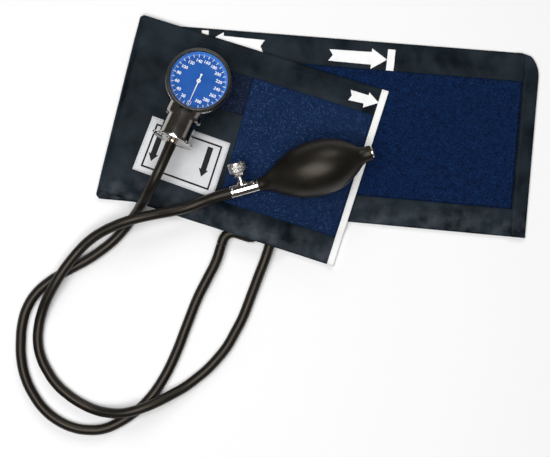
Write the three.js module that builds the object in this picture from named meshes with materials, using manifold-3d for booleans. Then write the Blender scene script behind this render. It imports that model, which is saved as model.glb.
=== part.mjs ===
// Aneroid sphygmomanometer: a folded nylon arm cuff with a dial gauge, two hoses and a hand bulb.
// Millimetres, +Z up, resting on z = 0. The origin is under the middle of the cuff, gauge and bulb.

import * as THREE from 'three';
import { mergeVertices } from 'three/addons/utils/BufferGeometryUtils.js';
import Module from 'manifold-3d';

const wasm = await Module();
wasm.setup();

// Driving dimensions: fits
const gap = 0.3;
const boreGap = 0.3;
const cutReach = 60;

// Driving dimensions: cuff
const cuffWidth = 141.6;
const cuffFoldMiddle = new THREE.Vector2(-155.3, 29.7);
const cuffFoldLean = 13.97;
const frontLength = 198;
const frontAngle = 17.64;
const frontSpread = 0.62;
const tailLength = 326;
const tailAngle = 4.9;
const tailSpread = 0.8;
const tailSlip = 6.2;
const clothThickness = 0.8;
const bladderThickness = 2.2;
const bladderMargin = 11;
const bladderPastFold = 30;
const crownRise = 16;
const foldRadiusAtEdge = 3;
const foldRadiusInMiddle = 5.2;
const frontSagLength = 60;
const droopLength = 14;
const droopFloor = 0.8;
const droopEnd = 42;
const tailCornerLength = 16;
const tailCornerWidth = 18;

// Driving dimensions: what is sewn on the cuff
const hemWidth = 11;
const hemThickness = 0.8;
const panelMargin = 21.5;
const loopThickness = 1.5;
const loopLength = 250;
const hookThickness = 1.2;
const hookLength = 99;
const tapeWidth = 4.5;
const tapeThickness = 0.6;
const labelThickness = 0.3;
const labelCorners = [[69.5, 68], [3.6, 66.1], [74.8, 23.8], [5.4, 21.4]];
const strapThickness = 1.2;
const strapWidth = 30.6;
const strapLength = 59;
const strapShift = 4.07;

// Driving dimensions: hoses and bladder outlets
const hoseRadius = 4;
const hoseSides = 8;
const hoseStep = 13;
const nippleRadius = 2.5;
const nippleLength = 8;
const nippleBore = 1.1;
const outletHeight = 6.5;
const elbowAlong = 106;
const elbowReach = 11;
const elbowBend = 8.5;
const elbowTuck = 1.2;
const elbowInlet = 24;
const spoutAlong = 142;
const spoutInset = 3;
const outletInset = 13;
const pouchFrom = 91;
const pouchTo = 158;
const pouchSlope = 11;
const pouchDepth = 28;
const pouchFlat = 14;

// Driving dimensions: gauge
const dialSpot = new THREE.Vector2(-91, 44.4);
const gaugeLean = 23.5;
const gaugeTilt = 9;
const caseRadius = 24;
const caseWall = 1;
const caseFloor = 1.2;
const caseHeight = 19.6;
const bezelRadius = 25.6;
const bezelOpening = 22.2;
const bezelHeight = 7;
const bezelLip = 1.4;
const lensThickness = 1.5;
const dialRadius = 22.6;
const dialThickness = 0.6;
const dialHeight = 16.3;
const dialRingWidth = 0.9;
const neckHeight = 11.4;
const neckRadius = 12.3;
const neckWall = 1.2;
const neckReach = 47.6;
const saddleRadius = 14.8;
const saddleReach = 31;
const saddleFlatness = 0.72;
const flangeRadius = 17;
const flangeThickness = 1.6;
const stemRadius = 2;
const stemBore = 0.9;
const stemReach = 17;
const hoseBossRadius = 3.2;
const hoseBossLength = 2;
const clipWidth = 16;
const clipThickness = 0.8;
const clipReach = 26;
const clipTail = 10;
const clipBladeLength = 37;
const rivetRadius = 0.9;
const rivetHead = 1.5;
const rivetHeadHeight = 0.5;
const rivetSpread = 5;
const rivetAlong = -5;

// Driving dimensions: gauge movement
const toothModule = 0.35;
const pinionTeeth = 8;
const gearRatio = 9;
const needleSweep = 338;
const capsuleRadius = 12;
const capsuleHeight = 4;
const capsuleSeat = 4.3;
const capsuleTravel = 1;
const padThickness = 0.5;
const plateThickness = 0.8;
const plateRadius = 17;
const plateSpacing = 3.3;
const pillarRadius = 1.1;
const screwRadius = 0.5;
const screwHeadRadius = 1.7;
const screwHeadHeight = 0.5;
const footRadius = 1.6;
const footCircle = 15.3;
const arborRadius = 0.5;
const pivotRadius = 0.35;
const sectorThickness = 0.5;
const rockingSweep = 24;
const rockingShaftRadius = 0.4;
const leverPinRadius = 0.6;
const postDepth = 5;
const postHalf = 3;
const needleLength = 19.5;
const needleTail = 6;
const needleThickness = 0.5;

// Driving dimensions: bulb and valves
const bulbSpot = new THREE.Vector2(-2.1, -23.4);
const bulbTurn = 15.7;
const bulbTilt = 9;
const bulbWall = 2.4;
const bulbBore = 3;
const bulbOutline = [
  [-45, 5.4], [-40, 6.1], [-36, 8], [-31, 11.2], [-24, 15.3], [-16, 18.9], [-8, 20.9], [2, 21.6],
  [11, 20.9], [19, 18.8], [26, 15.2], [32, 11], [36, 7.6], [40, 6.1], [45, 5.8],
];
const valveRadius = 5.2;
const valveLength = 23;
const valveCapLength = 2.7;
const chamberRadius = 3.7;
const chamberDepth = 5.6;
const checkRadius = 3.2;
const checkThickness = 0.8;
const airBore = 1.1;
const screwAlong = -58;
const screwLean = 7;
const screwHoleRadius = 2;
const screwShankRadius = 1.7;
const screwBossRadius = 3.7;
const screwBossReach = 6.3;
const screwNeckRadius = 2.35;
const screwHeadStart = 10.4;
const screwHeadLength = 11.2;
const thumbRadius = 7;
const thumbTaper = 4.2;
const thumbRibs = 16;
const ringThickness = 0.5;
const inletRadius = 4.4;
const inletFlange = 1.3;

// Hose routes, chosen along the photographed loops and up over the cuff's edge and each other
const gaugeHoseRoute = [
  [-119.9, -22, 38.8], [-123.2, -28.6, 38], [-126.5, -35, 35.7], [-131.5, -43.5, 29.6],
  [-136.5, -51, 20], [-140.8, -57, 12.5], [-145.8, -63.3, 7.6], [-152, -70.8, 4.6],
  [-159.5, -78.7, 4.1], [-168.5, -86, 4.1], [-179.5, -93.5, 4.1], [-190.5, -99.5, 4.1],
  [-200.5, -105, 4.1], [-210.5, -111.5, 4.1], [-219.5, -119.5, 4.1], [-226.5, -130, 4.1],
  [-230.5, -142.5, 4.1], [-232, -157.5, 4.1], [-231.5, -172, 4.1], [-228, -187, 4.1],
  [-222, -199.5, 4.1], [-213.5, -211, 4.1], [-203, -219.5, 4.1], [-191, -225, 4.1],
  [-178.5, -227, 4.1], [-167, -226, 4.1], [-156, -221.5, 4.1], [-143.5, -213.5, 4.1],
  [-131.5, -202.5, 4.1], [-120.5, -187, 4.1], [-111, -168, 4.1], [-102, -145, 4.1],
  [-93.5, -123.5, 4.2], [-86.5, -109.5, 5.2],
];
const bulbHoseRoute = [
  [-91, -49.2, 17.1], [-101, -53, 16.6], [-111, -55.5, 17.7], [-129, -59, 21.3],
  [-145.5, -63, 22.1], [-159, -68, 19.7], [-169, -73, 17.4], [-177, -78.5, 15.6], [-184, -85, 14],
  [-190.5, -92.5, 13.5], [-197, -101, 13.1], [-203.5, -111, 12.3], [-210, -122.5, 9.6],
  [-215, -134.5, 6.4], [-218, -147, 4.6], [-218.5, -159, 4.1], [-216, -170.5, 4.1],
  [-211, -181, 4.1], [-204.5, -190.5, 4.1], [-195.5, -199, 4.1], [-185, -206, 4.4],
  [-173.5, -211, 5.9], [-162.5, -213, 8.9], [-152, -213, 11.6], [-142.5, -211, 12.9],
  [-133.5, -208, 12.6], [-124, -204, 10.8], [-114, -199, 8.1], [-104, -193.5, 5.7],
  [-95, -187, 4.5], [-86, -179.5, 4.1], [-78, -171, 4.1], [-70.5, -161.5, 4.1], [-64.5, -151, 4.1],
  [-58.5, -139.5, 4.1], [-51.5, -121.5, 4.4], [-45.9, -106.5, 5.4],
];

// Finishes
function finish(color, roughness, metalness) {
  return new THREE.MeshStandardMaterial({ color, roughness, metalness });
}
const nylon = finish(0x1d242c, 0.6, 0);
const hookFabric = finish(0x17295a, 0.85, 0);
const loopFabric = finish(0x0b1a4a, 0.95, 0);
const strapWebbing = finish(0x15171c, 0.8, 0);
const whiteTape = finish(0xe9e9e6, 0.7, 0);
const labelCloth = finish(0xd2d3d6, 0.75, 0);
const rubber = finish(0x2b2925, 0.5, 0);
const bladderRubber = finish(0x3a3a3c, 0.6, 0);
const blackEnamel = finish(0x17171a, 0.35, 0.2);
const chrome = finish(0xc4c4c6, 0.12, 1);
const steel = finish(0xa9aaad, 0.3, 1);
const brass = finish(0xb08d4c, 0.3, 1);
const dialBlue = finish(0x2062be, 0.5, 0);
const needleWhite = finish(0xf0f1f2, 0.4, 0);
const glass = new THREE.MeshStandardMaterial({
  color: 0xdfe9f0, roughness: 0.05, metalness: 0, transparent: true, opacity: 0.3,
});

// Small tools for closed solids
function radians(degrees) {
  return THREE.MathUtils.degToRad(degrees);
}

function signedVolume(geometry) {
  const position = geometry.getAttribute('position');
  const index = geometry.getIndex();
  const [a, b, c] = [new THREE.Vector3(), new THREE.Vector3(), new THREE.Vector3()];
  let sum = 0;
  for (let i = 0; i < index.count; i += 3) {
    a.fromBufferAttribute(position, index.getX(i));
    b.fromBufferAttribute(position, index.getX(i + 1));
    c.fromBufferAttribute(position, index.getX(i + 2));
    sum += a.dot(b.cross(c));
  }
  return sum / 6;
}

function closed(source) {
  const bare = new THREE.BufferGeometry();
  bare.setAttribute('position', source.getAttribute('position').clone());
  if (source.getIndex()) bare.setIndex(source.getIndex().clone());
  const welded = mergeVertices(bare, 1e-4);
  const index = welded.getIndex();
  const kept = [];
  for (let i = 0; i < index.count; i += 3) {
    const corners = [index.getX(i), index.getX(i + 1), index.getX(i + 2)];
    if (new Set(corners).size === 3) kept.push(...corners);
  }
  welded.setIndex(kept);
  if (signedVolume(welded) < 0) {
    for (let i = 0; i < kept.length; i += 3) {
      [kept[i + 1], kept[i + 2]] = [kept[i + 2], kept[i + 1]];
    }
    welded.setIndex(kept);
  }
  return welded;
}

function toManifold(geometry) {
  const solid = closed(geometry);
  const mesh = new wasm.Mesh({
    numProp: 3,
    vertProperties: new Float32Array(solid.getAttribute('position').array),
    triVerts: new Uint32Array(solid.getIndex().array),
  });
  return new wasm.Manifold(mesh);
}

function fromManifold(manifold) {
  const mesh = manifold.getMesh();
  const geometry = new THREE.BufferGeometry();
  geometry.setAttribute('position', new THREE.BufferAttribute(mesh.vertProperties, 3));
  geometry.setIndex(new THREE.BufferAttribute(mesh.triVerts, 1));
  return geometry;
}

function join(first, ...others) {
  return fromManifold(others.reduce((sum, other) => sum.add(toManifold(other)), toManifold(first)));
}

function cut(base, ...tools) {
  return fromManifold(tools.reduce((rest, tool) => rest.subtract(toManifold(tool)), toManifold(base)));
}

function turned(outline, sides = 24) {
  const points = outline.map(([radius, height]) => new THREE.Vector2(radius, height));
  return new THREE.LatheGeometry(points, sides).rotateX(Math.PI / 2);
}

function rod(radius, from, to, sides = 24) {
  return turned([[0, from], [radius, from], [radius, to], [0, to]], sides);
}

function ring(outer, inner, from, to, sides = 24) {
  return turned([[inner, from], [outer, from], [outer, to], [inner, to], [inner, from]], sides);
}

function box(x0, x1, y0, y1, z0, z1) {
  const geometry = new THREE.BoxGeometry(x1 - x0, y1 - y0, z1 - z0);
  return geometry.translate((x0 + x1) / 2, (y0 + y1) / 2, (z0 + z1) / 2);
}

function plate(outline, from, to, curveSegments = 8) {
  const shape = outline instanceof THREE.Shape ? outline : new THREE.Shape(outline);
  const options = { depth: to - from, bevelEnabled: false, curveSegments };
  return new THREE.ExtrudeGeometry(shape, options).translate(0, 0, from);
}

// A rod or ring whose axis runs along -Y, its heights counted outwards from the axis of the dial
function alongStem(geometry, height) {
  return geometry.rotateX(Math.PI / 2).translate(0, 0, height);
}

// A thin closed sheet between two grids of points with the same rows and columns
function sheetSolid(top, bottom) {
  const rows = top.length;
  const columns = top[0].length;
  const points = [...top.flat(), ...bottom.flat()];
  const upper = (i, j) => i * columns + j;
  const lower = (i, j) => rows * columns + i * columns + j;
  const faces = [];
  const quad = (a, b, c, d) => faces.push(a, b, c, a, c, d);
  for (let i = 0; i < rows - 1; i += 1) {
    for (let j = 0; j < columns - 1; j += 1) {
      quad(upper(i, j), upper(i + 1, j), upper(i + 1, j + 1), upper(i, j + 1));
      quad(lower(i, j), lower(i, j + 1), lower(i + 1, j + 1), lower(i + 1, j));
    }
    quad(upper(i + 1, 0), upper(i, 0), lower(i, 0), lower(i + 1, 0));
    const last = columns - 1;
    quad(upper(i, last), upper(i + 1, last), lower(i + 1, last), lower(i, last));
  }
  for (let j = 0; j < columns - 1; j += 1) {
    const last = rows - 1;
    quad(upper(0, j), upper(0, j + 1), lower(0, j + 1), lower(0, j));
    quad(upper(last, j + 1), upper(last, j), lower(last, j), lower(last, j + 1));
  }
  const geometry = new THREE.BufferGeometry();
  const numbers = points.flatMap((point) => point.toArray());
  geometry.setAttribute('position', new THREE.Float32BufferAttribute(numbers, 3));
  geometry.setIndex(faces);
  return geometry;
}

const object = new THREE.Group();
const cuffGroup = new THREE.Group();
const gaugeGroup = new THREE.Group();
const bulbGroup = new THREE.Group();
object.add(cuffGroup, gaugeGroup, bulbGroup);

function piece(parent, name, geometry, material) {
  const mesh = new THREE.Mesh(closed(geometry), material);
  mesh.name = name;
  parent.add(mesh);
  return mesh;
}

// Cuff layout: the fold line leans, the front half runs down to the right over the tail half
const smooth = THREE.MathUtils.smoothstep;
const lerp = THREE.MathUtils.lerp;
const flat = (x, y) => new THREE.Vector2(x, y);
const foldUp = flat(Math.sin(radians(cuffFoldLean)), Math.cos(radians(cuffFoldLean)));
const foldIn = new THREE.Vector2(foldUp.y, -foldUp.x);
const foldSlack = gap + bladderThickness;

function foldEdge(t) {
  return cuffFoldMiddle.clone().addScaledVector(foldUp, (t - 0.5) * cuffWidth);
}

function sideCrown(distance) {
  return smooth(distance, bladderMargin - crownRise / 2, bladderMargin + crownRise / 2);
}

function foldRadius(t) {
  const crown = sideCrown(Math.min(t, 1 - t) * cuffWidth);
  return lerp(foldRadiusAtEdge, foldRadiusInMiddle, crown);
}

function foldCentre(t) {
  return foldEdge(t).addScaledVector(foldIn, foldRadius(t));
}

function halfDirection(t, angle, spread) {
  const turn = -radians(angle + (0.5 - t) * spread);
  return new THREE.Vector2(Math.cos(turn), Math.sin(turn));
}

function halfLength(t, length, angle) {
  return length + (t - 0.5) * cuffWidth * Math.sin(radians(angle - cuffFoldLean)) - foldRadius(t);
}

function frontSpot(t, fraction) {
  const along = halfLength(t, frontLength, frontAngle) * fraction;
  return foldCentre(t).addScaledVector(halfDirection(t, frontAngle, frontSpread), along);
}

function tailCornerCut(t) {
  const into = THREE.MathUtils.clamp(1 - (1 - t) * cuffWidth / tailCornerWidth, 0, 1);
  return tailCornerLength * (1 - Math.sqrt(1 - into * into));
}

function tailReach(t) {
  return halfLength(t, tailLength, tailAngle);
}

function tailSpotAt(t, along) {
  const start = foldCentre(t).addScaledVector(foldUp, -tailSlip);
  return start.addScaledVector(halfDirection(t, tailAngle, tailSpread), along);
}

function tailSpot(t, fraction) {
  const trim = fraction > 0.999 ? tailCornerCut(t) : 0;
  return tailSpotAt(t, tailReach(t) * fraction - trim);
}

function distanceInside(from, to, spot) {
  const edge = to.clone().sub(from).normalize();
  const offset = spot.clone().sub(from);
  return edge.x * offset.y - edge.y * offset.x;
}

const frontLow = [frontSpot(0, 0), frontSpot(0, 1)];
const frontHigh = [frontSpot(1, 0), frontSpot(1, 1)];
const tailLow = [tailSpot(0, 0), tailSpotAt(0, tailReach(0))];
const tailHigh = [tailSpot(1, 0), tailSpotAt(1, tailReach(1))];

function frontSide(spot) {
  const low = distanceInside(frontLow[0], frontLow[1], spot);
  const high = distanceInside(frontHigh[1], frontHigh[0], spot);
  return Math.min(low, high);
}

function tailSide(spot) {
  const low = distanceInside(tailLow[0], tailLow[1], spot);
  const high = distanceInside(tailHigh[1], tailHigh[0], spot);
  return Math.min(low, high);
}

function foldDistance(spot) {
  return distanceInside(foldEdge(1), foldEdge(0), spot);
}

// How far the two cloths stand apart, with the bladder between them
function frontBladder(spot) {
  const end = distanceInside(frontLow[1], frontHigh[1], spot);
  return sideCrown(frontSide(spot)) * sideCrown(end);
}

function tailBladder(spot) {
  const past = foldDistance(spot) - bladderPastFold;
  return sideCrown(tailSide(spot)) * (1 - smooth(past, -crownRise / 2, crownRise / 2));
}

function slack(full) {
  return gap + foldSlack * full;
}

// Height of the face of the inner cloth that faces the bladder, on the front half
const tailStack = 2 * clothThickness + gap + gap + loopThickness;
const frontRest = tailStack + gap + clothThickness;

function frontBase(spot) {
  const crown = sideCrown(frontSide(spot));
  const radius = lerp(foldRadiusAtEdge, foldRadiusInMiddle, crown);
  const start = 2 * radius - clothThickness - slack(frontBladder(spot));
  const beyond = -distanceInside(tailLow[0], tailLow[1], spot);
  const droop = (frontRest - clothThickness - droopFloor) * smooth(beyond, 0, droopLength);
  return lerp(start, frontRest - droop, smooth(foldDistance(spot), radius, frontSagLength));
}

// The outer cloth is lifted into a pouch over the two outlets at the lower edge
function pouch(spot) {
  const along = distanceInside(foldEdge(1), foldEdge(0), spot);
  const rise = smooth(along, pouchFrom, pouchFrom + pouchSlope);
  const fall = 1 - smooth(along, pouchTo - pouchSlope, pouchTo);
  const low = distanceInside(frontLow[0], frontLow[1], spot);
  return rise * fall * (1 - smooth(low, pouchFlat, pouchDepth));
}

function frontUnderOuter(spot) {
  const flat = frontBase(spot) + slack(frontBladder(spot));
  const lifted = Math.max(flat, outletHeight + hoseRadius + gap);
  return lerp(flat, lifted, pouch(spot));
}

function frontTop(spot) {
  return frontUnderOuter(spot) + clothThickness;
}

function onFront(spot, above) {
  return new THREE.Vector3(spot.x, spot.y, frontTop(spot) + above);
}

// Stations along the strip, from the tail's end round the fold to the front's end
const columns = [0, 4, 8, bladderMargin, 15, panelMargin].map((across) => across / cuffWidth);
const acrossAll = [...columns, droopEnd / cuffWidth, 0.5, ...columns.map((t) => 1 - t).reverse()];
const bladderTailStart = (bladderPastFold - foldRadiusInMiddle) / tailLength;
const tailStations = [1, 0.9, 0.5, 0.135, 0.105, bladderTailStart, 0.055, 0.025];
const hookEnd = 1 - (tapeWidth + 2 * gap) / frontLength;
const hookStart = hookEnd - hookLength / frontLength;
const strapEnd = hookStart - gap / frontLength;
const strapStart = strapEnd - strapLength / frontLength;
const frontStations = [
  0.06, 0.12, strapStart, 0.25, 0.34, 0.42, hookStart, 0.5, 0.53, 0.56, 0.66, 0.74, 0.775, 0.805,
  0.84, 0.87, 0.905, 0.94, hookEnd, 1,
];
const foldSteps = 7;
const stripStations = [
  ...tailStations.map((value) => ({ half: 'tail', value })),
  ...Array.from({ length: foldSteps + 1 }, (_, i) => ({ half: 'fold', value: i / foldSteps })),
  ...frontStations.map((value) => ({ half: 'front', value })),
];

// A point of the strip: rise is counted from the inner cloth's bladder side, outwards
function stripPoint(station, t, rise) {
  if (station.half === 'tail') {
    const spot = tailSpot(t, station.value);
    const height = clothThickness + slack(tailBladder(spot)) - rise(slack(tailBladder(spot)), spot);
    return new THREE.Vector3(spot.x, spot.y, height);
  }
  if (station.half === 'front') {
    const spot = frontSpot(t, station.value);
    return new THREE.Vector3(spot.x, spot.y, frontBase(spot) + rise(slack(frontBladder(spot)), spot));
  }
  const share = station.value;
  const turn = share * Math.PI;
  const centre = foldCentre(t).addScaledVector(foldUp, -tailSlip * (1 - share));
  const room = slack(lerp(tailBladder(tailSpot(t, 0)), frontBladder(frontSpot(t, 0)), share));
  const radius = foldRadius(t) - clothThickness - room + rise(room, null);
  const spot = centre.addScaledVector(foldIn, -radius * Math.sin(turn));
  return new THREE.Vector3(spot.x, spot.y, foldRadius(t) - radius * Math.cos(turn));
}

function stripSheet(stations, across, upper, lower) {
  const grid = (rise) => stations.map((station) => across.map((t) => stripPoint(station, t, rise)));
  return sheetSolid(grid(upper), grid(lower));
}

function pouchLift(spot) {
  return frontUnderOuter(spot) - frontBase(spot) - slack(frontBladder(spot));
}

function outerRise(extra) {
  return (room, spot) => room + extra + (foldDistance(spot) > bladderPastFold ? pouchLift(spot) : 0);
}

// Outer and inner cloths
function outerPoint(station, t, extra) {
  const lift = station.half === 'front' ? outerRise(extra) : (room) => room + extra;
  return stripPoint(station, t, lift);
}
function outerGrid(extra) {
  return stripStations.map((station) => acrossAll.map((t) => outerPoint(station, t, extra)));
}
piece(cuffGroup, 'cuff_outer_cloth', sheetSolid(outerGrid(clothThickness), outerGrid(0)), nylon);
const innerCloth = stripSheet(stripStations, acrossAll, () => 0, () => -clothThickness);
piece(cuffGroup, 'cuff_inner_cloth', innerCloth, nylon);

// Bladder: a flat rubber bag between the cloths, round the fold
const bladderEnd = 1 - bladderMargin / frontLength;
const bladderStations = [
  { half: 'tail', value: bladderTailStart },
  ...stripStations.filter(({ half, value }) => half === 'tail' && value * tailLength < bladderPastFold - 8),
  ...stripStations.filter(({ half }) => half === 'fold'),
  ...stripStations.filter(({ half, value }) => half === 'front' && value < bladderEnd - 0.01),
  { half: 'front', value: bladderEnd },
];
const bladderEdge = bladderMargin / cuffWidth;
function acrossWithin(edge) {
  return [edge, ...acrossAll.filter((t) => t > edge && t < 1 - edge), 1 - edge];
}
const bladderAcross = acrossWithin(bladderEdge);
const bladderTop = (room) => room - gap;
const bladder = stripSheet(bladderStations, bladderAcross, bladderTop, () => gap);
piece(cuffGroup, 'bladder', bladder, bladderRubber);

// Loop panel on the tail's inner face
const tailTop = 2 * clothThickness + gap;
function tailPanelPoint(t, fromEnd, height) {
  const spot = tailSpotAt(t, tailReach(t) - fromEnd);
  return new THREE.Vector3(spot.x, spot.y, height);
}
const panelEdge = panelMargin / cuffWidth;
const loopAcross = [panelEdge, 0.5, 1 - panelEdge];
const loopAlong = [hemWidth + gap, hemWidth + gap + loopLength];
const loopGrid = (height) => loopAlong.map((end) => loopAcross.map((t) => tailPanelPoint(t, end, height)));
const loopFace = tailTop + gap + loopThickness;
piece(cuffGroup, 'loop_panel', sheetSolid(loopGrid(loopFace), loopGrid(tailTop + gap)), loopFabric);

// Hem folded over the tail's end
function cornerSteepness(t) {
  const step = columns[1];
  return (tailCornerCut(Math.min(t + step, 1)) - tailCornerCut(Math.min(t, 1 - step))) / (step * cuffWidth);
}
function hemPoints(lift) {
  return acrossAll.map((t) => {
    const inner = Math.max(hemWidth, tailCornerCut(t) + 1.5);
    const outer = tailCornerCut(t) - (gap + lift) * Math.hypot(1, cornerSteepness(t));
    const height = tailTop + gap + lift;
    const corners = [[inner, height], [outer, height], [outer, 0]];
    return corners.map(([fromEnd, level]) => tailPanelPoint(t, fromEnd, level));
  });
}
piece(cuffGroup, 'tail_hem', sheetSolid(hemPoints(hemThickness), hemPoints(0)), nylon);

// Hook panel, index tape, label and gauge strap on the front half
function frontPanelPoint(t, fraction, above) {
  return onFront(frontSpot(t, fraction), above);
}
const hookBetween = frontStations.filter((f) => f > hookStart + 0.01 && f < hookEnd - 0.005);
const hookAlong = [hookStart, ...hookBetween, hookEnd];
const hookAcross = acrossWithin(panelEdge);
const hookGrid = (above) => hookAlong.map((f) => hookAcross.map((t) => frontPanelPoint(t, f, above)));
piece(cuffGroup, 'hook_panel', sheetSolid(hookGrid(gap + hookThickness), hookGrid(gap)), hookFabric);

function tapePoints(lift) {
  return acrossAll.map((t) => {
    const inner = frontPanelPoint(t, 1 - tapeWidth / frontLength, gap + lift);
    const outer = frontPanelPoint(t, 1 + (gap + lift) / frontLength, gap + lift);
    const foot = outer.clone().setZ(frontBase(frontSpot(t, 1)) - clothThickness);
    return [inner, outer, foot];
  });
}
piece(cuffGroup, 'index_tape', sheetSolid(tapePoints(tapeThickness), tapePoints(0)), whiteTape);

// The label's corners are counted back from the hook panel and up from the lower edge
const labelSteps = 4;
const labelShares = Array.from({ length: labelSteps + 1 }, (_, i) => i / labelSteps);
function labelGrid(above) {
  const [topLeft, topRight, lowLeft, lowRight] = labelCorners.map(([fromHook, across]) => (
    frontSpot(across / cuffWidth, hookStart - fromHook / frontLength)
  ));
  return labelShares.map((down) => {
    const left = topLeft.clone().lerp(lowLeft, down);
    const right = topRight.clone().lerp(lowRight, down);
    return labelShares.map((over) => onFront(left.clone().lerp(right, over), above));
  });
}
piece(cuffGroup, 'sewn_label', sheetSolid(labelGrid(gap + labelThickness), labelGrid(gap)), labelCloth);

// Gauge place: the clip's blade lies on the cuff and the strap passes over the blade
const gaugeUp = flat(Math.sin(radians(gaugeLean)), Math.cos(radians(gaugeLean)));
const bezelTop = caseHeight + gap + lensThickness + gap + bezelLip;
const gaugeSpot = dialSpot.clone().addScaledVector(gaugeUp, -bezelTop * Math.sin(radians(gaugeTilt)));
const gaugeAcross = flat(gaugeUp.y, -gaugeUp.x);
const bladeCorners = [-1, 1].flatMap((side) => [-1, -0.5, 0, 0.5, 1].map((end) => {
  const edge = gaugeSpot.clone().addScaledVector(gaugeAcross, side * clipWidth / 2);
  return edge.addScaledVector(gaugeUp, end * clipReach);
}));
const bladeFloor = Math.max(...bladeCorners.map((spot) => frontTop(spot))) + gap;
const bladeTop = bladeFloor + clipThickness;
const strapTop = bladeTop + gap + strapThickness;

const strapAcross = distanceInside(frontLow[0], frontLow[1], gaugeSpot) + strapShift;
const strapT = strapAcross / cuffWidth;
const strapDirection = halfDirection(strapT, frontAngle, frontSpread);
const clipAlong = gaugeSpot.clone().sub(foldCentre(strapT)).dot(strapDirection);
const strapRun = halfLength(strapT, frontLength, frontAngle);
const clipFraction = clipAlong / strapRun;
const humpFlat = 11.5 / strapRun;
const humpFoot = 18 / strapRun;
const strapAlong = [
  strapStart, clipFraction - humpFoot, clipFraction - humpFlat, clipFraction,
  clipFraction + humpFlat, clipFraction + humpFoot, strapEnd,
];
const strapShares = [-0.5, -0.17, 0.17, 0.5];
const strapAcrossSteps = strapShares.map((share) => (strapAcross + share * strapWidth) / cuffWidth);
function strapPoint(t, fraction, lift) {
  const spot = frontSpot(t, fraction);
  const over = 1 - smooth(Math.abs(fraction - clipFraction), humpFlat, humpFoot);
  const rest = frontTop(spot) + gap;
  return new THREE.Vector3(spot.x, spot.y, lerp(rest, Math.max(rest, bladeTop + gap), over) + lift);
}
const strapGrid = (lift) => strapAlong.map((f) => strapAcrossSteps.map((t) => strapPoint(t, f, lift)));
piece(cuffGroup, 'gauge_strap', sheetSolid(strapGrid(strapThickness), strapGrid(0)), strapWebbing);

// Bladder outlets at the lower edge of the front half
const lowEdge = frontLow[1].clone().sub(frontLow[0]).normalize();
const lowInward = new THREE.Vector2(-lowEdge.y, lowEdge.x);
function outletPoint(along, inward) {
  const start = foldCentre(0).addScaledVector(lowEdge, along - foldRadius(0));
  const spot = start.addScaledVector(lowInward, inward);
  return new THREE.Vector3(spot.x, spot.y, outletHeight);
}

// Tubes along a route, with a round section of few sides
function tube(points, radius, sides, step) {
  const route = new THREE.CatmullRomCurve3(points, false, 'centripetal');
  const section = new THREE.Shape();
  for (let i = 0; i < sides; i += 1) {
    const turn = (i / sides) * 2 * Math.PI;
    const place = [radius * Math.cos(turn), radius * Math.sin(turn)];
    if (i === 0) section.moveTo(...place);
    else section.lineTo(...place);
  }
  section.closePath();
  const steps = Math.max(2, Math.round(route.getLength() / step));
  return new THREE.ExtrudeGeometry(section, { extrudePath: route, steps, bevelEnabled: false });
}

function barbed(radius, bore, length) {
  const neck = radius - 0.3;
  const barbs = [0.3, 0.65].flatMap((start) => [
    [neck, length * start - 0.1], [radius, length * start], [neck, length * (start + 0.3)],
  ]);
  return turned([[bore, 0], [neck, 0], ...barbs, [bore, length], [bore, 0]], 10);
}

function pointing(geometry, place, direction) {
  const turn = new THREE.Quaternion().setFromUnitVectors(new THREE.Vector3(0, 0, 1), direction);
  return geometry.applyQuaternion(turn).translate(place.x, place.y, place.z);
}

const outward = new THREE.Vector3(-lowInward.x, -lowInward.y, 0);
const frontStrip = stripStations.filter(({ half }) => half === 'front');
const roofMargin = (bladderMargin - gap) / cuffWidth;
const roofAcross = [roofMargin, ...bladderAcross.slice(1, -1), 1 - roofMargin];
const bladderRoof = stripSheet(bladderStations.slice(-18), roofAcross, (room) => room, () => -6);
const clothFloor = stripSheet(frontStrip, acrossAll, () => gap, () => -6);

function arcPoints(centreAlong, centreInward, radius, from, to, count) {
  return Array.from({ length: count + 1 }, (_, i) => {
    const turn = radians(lerp(from, to, i / count));
    return outletPoint(centreAlong + radius * Math.cos(turn), centreInward + radius * Math.sin(turn));
  });
}
const innerBend = 6;
const elbowRoute = [
  outletPoint(elbowAlong + elbowInlet, outletInset),
  outletPoint(elbowAlong + elbowInlet, outletInset - 4),
  ...arcPoints(elbowAlong + elbowInlet - innerBend, elbowTuck + innerBend, innerBend, 0, -90, 4),
  ...arcPoints(elbowAlong + elbowBend, elbowTuck - elbowBend, elbowBend, 90, 180, 5),
  outletPoint(elbowAlong, -elbowReach),
];
const elbowEnd = outletPoint(elbowAlong, -elbowReach);
const outletBarb = () => barbed(nippleRadius, nippleBore, nippleLength + 1);
const elbowNipple = pointing(outletBarb(), outletPoint(elbowAlong, 1 - elbowReach), outward);
const elbowPipe = cut(tube(elbowRoute, hoseRadius, hoseSides, 3.6), bladderRoof, clothFloor);
piece(cuffGroup, 'bladder_elbow', join(elbowPipe, elbowNipple), rubber);

const spoutEnd = outletPoint(spoutAlong, spoutInset);
const spoutRoute = [outletPoint(spoutAlong, outletInset), spoutEnd];
const spoutNipple = pointing(outletBarb(), outletPoint(spoutAlong, spoutInset + 1), outward);
const spoutPipe = cut(tube(spoutRoute, hoseRadius, hoseSides, 14), bladderRoof, clothFloor);
piece(cuffGroup, 'bladder_spout', join(spoutPipe, spoutNipple), rubber);

// Gauge frame: local +Y is 12 o'clock, local +Z is the dial's normal, z = 0 is the back of the case
const gaugeHeight = strapTop + gap
  + (clipThickness + gap) * Math.cos(radians(gaugeTilt))
  + clipReach * Math.sin(radians(gaugeTilt));
gaugeGroup.position.set(gaugeSpot.x, gaugeSpot.y, gaugeHeight);
gaugeGroup.rotation.set(-radians(gaugeTilt), 0, -radians(gaugeLean), 'ZXY');

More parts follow.
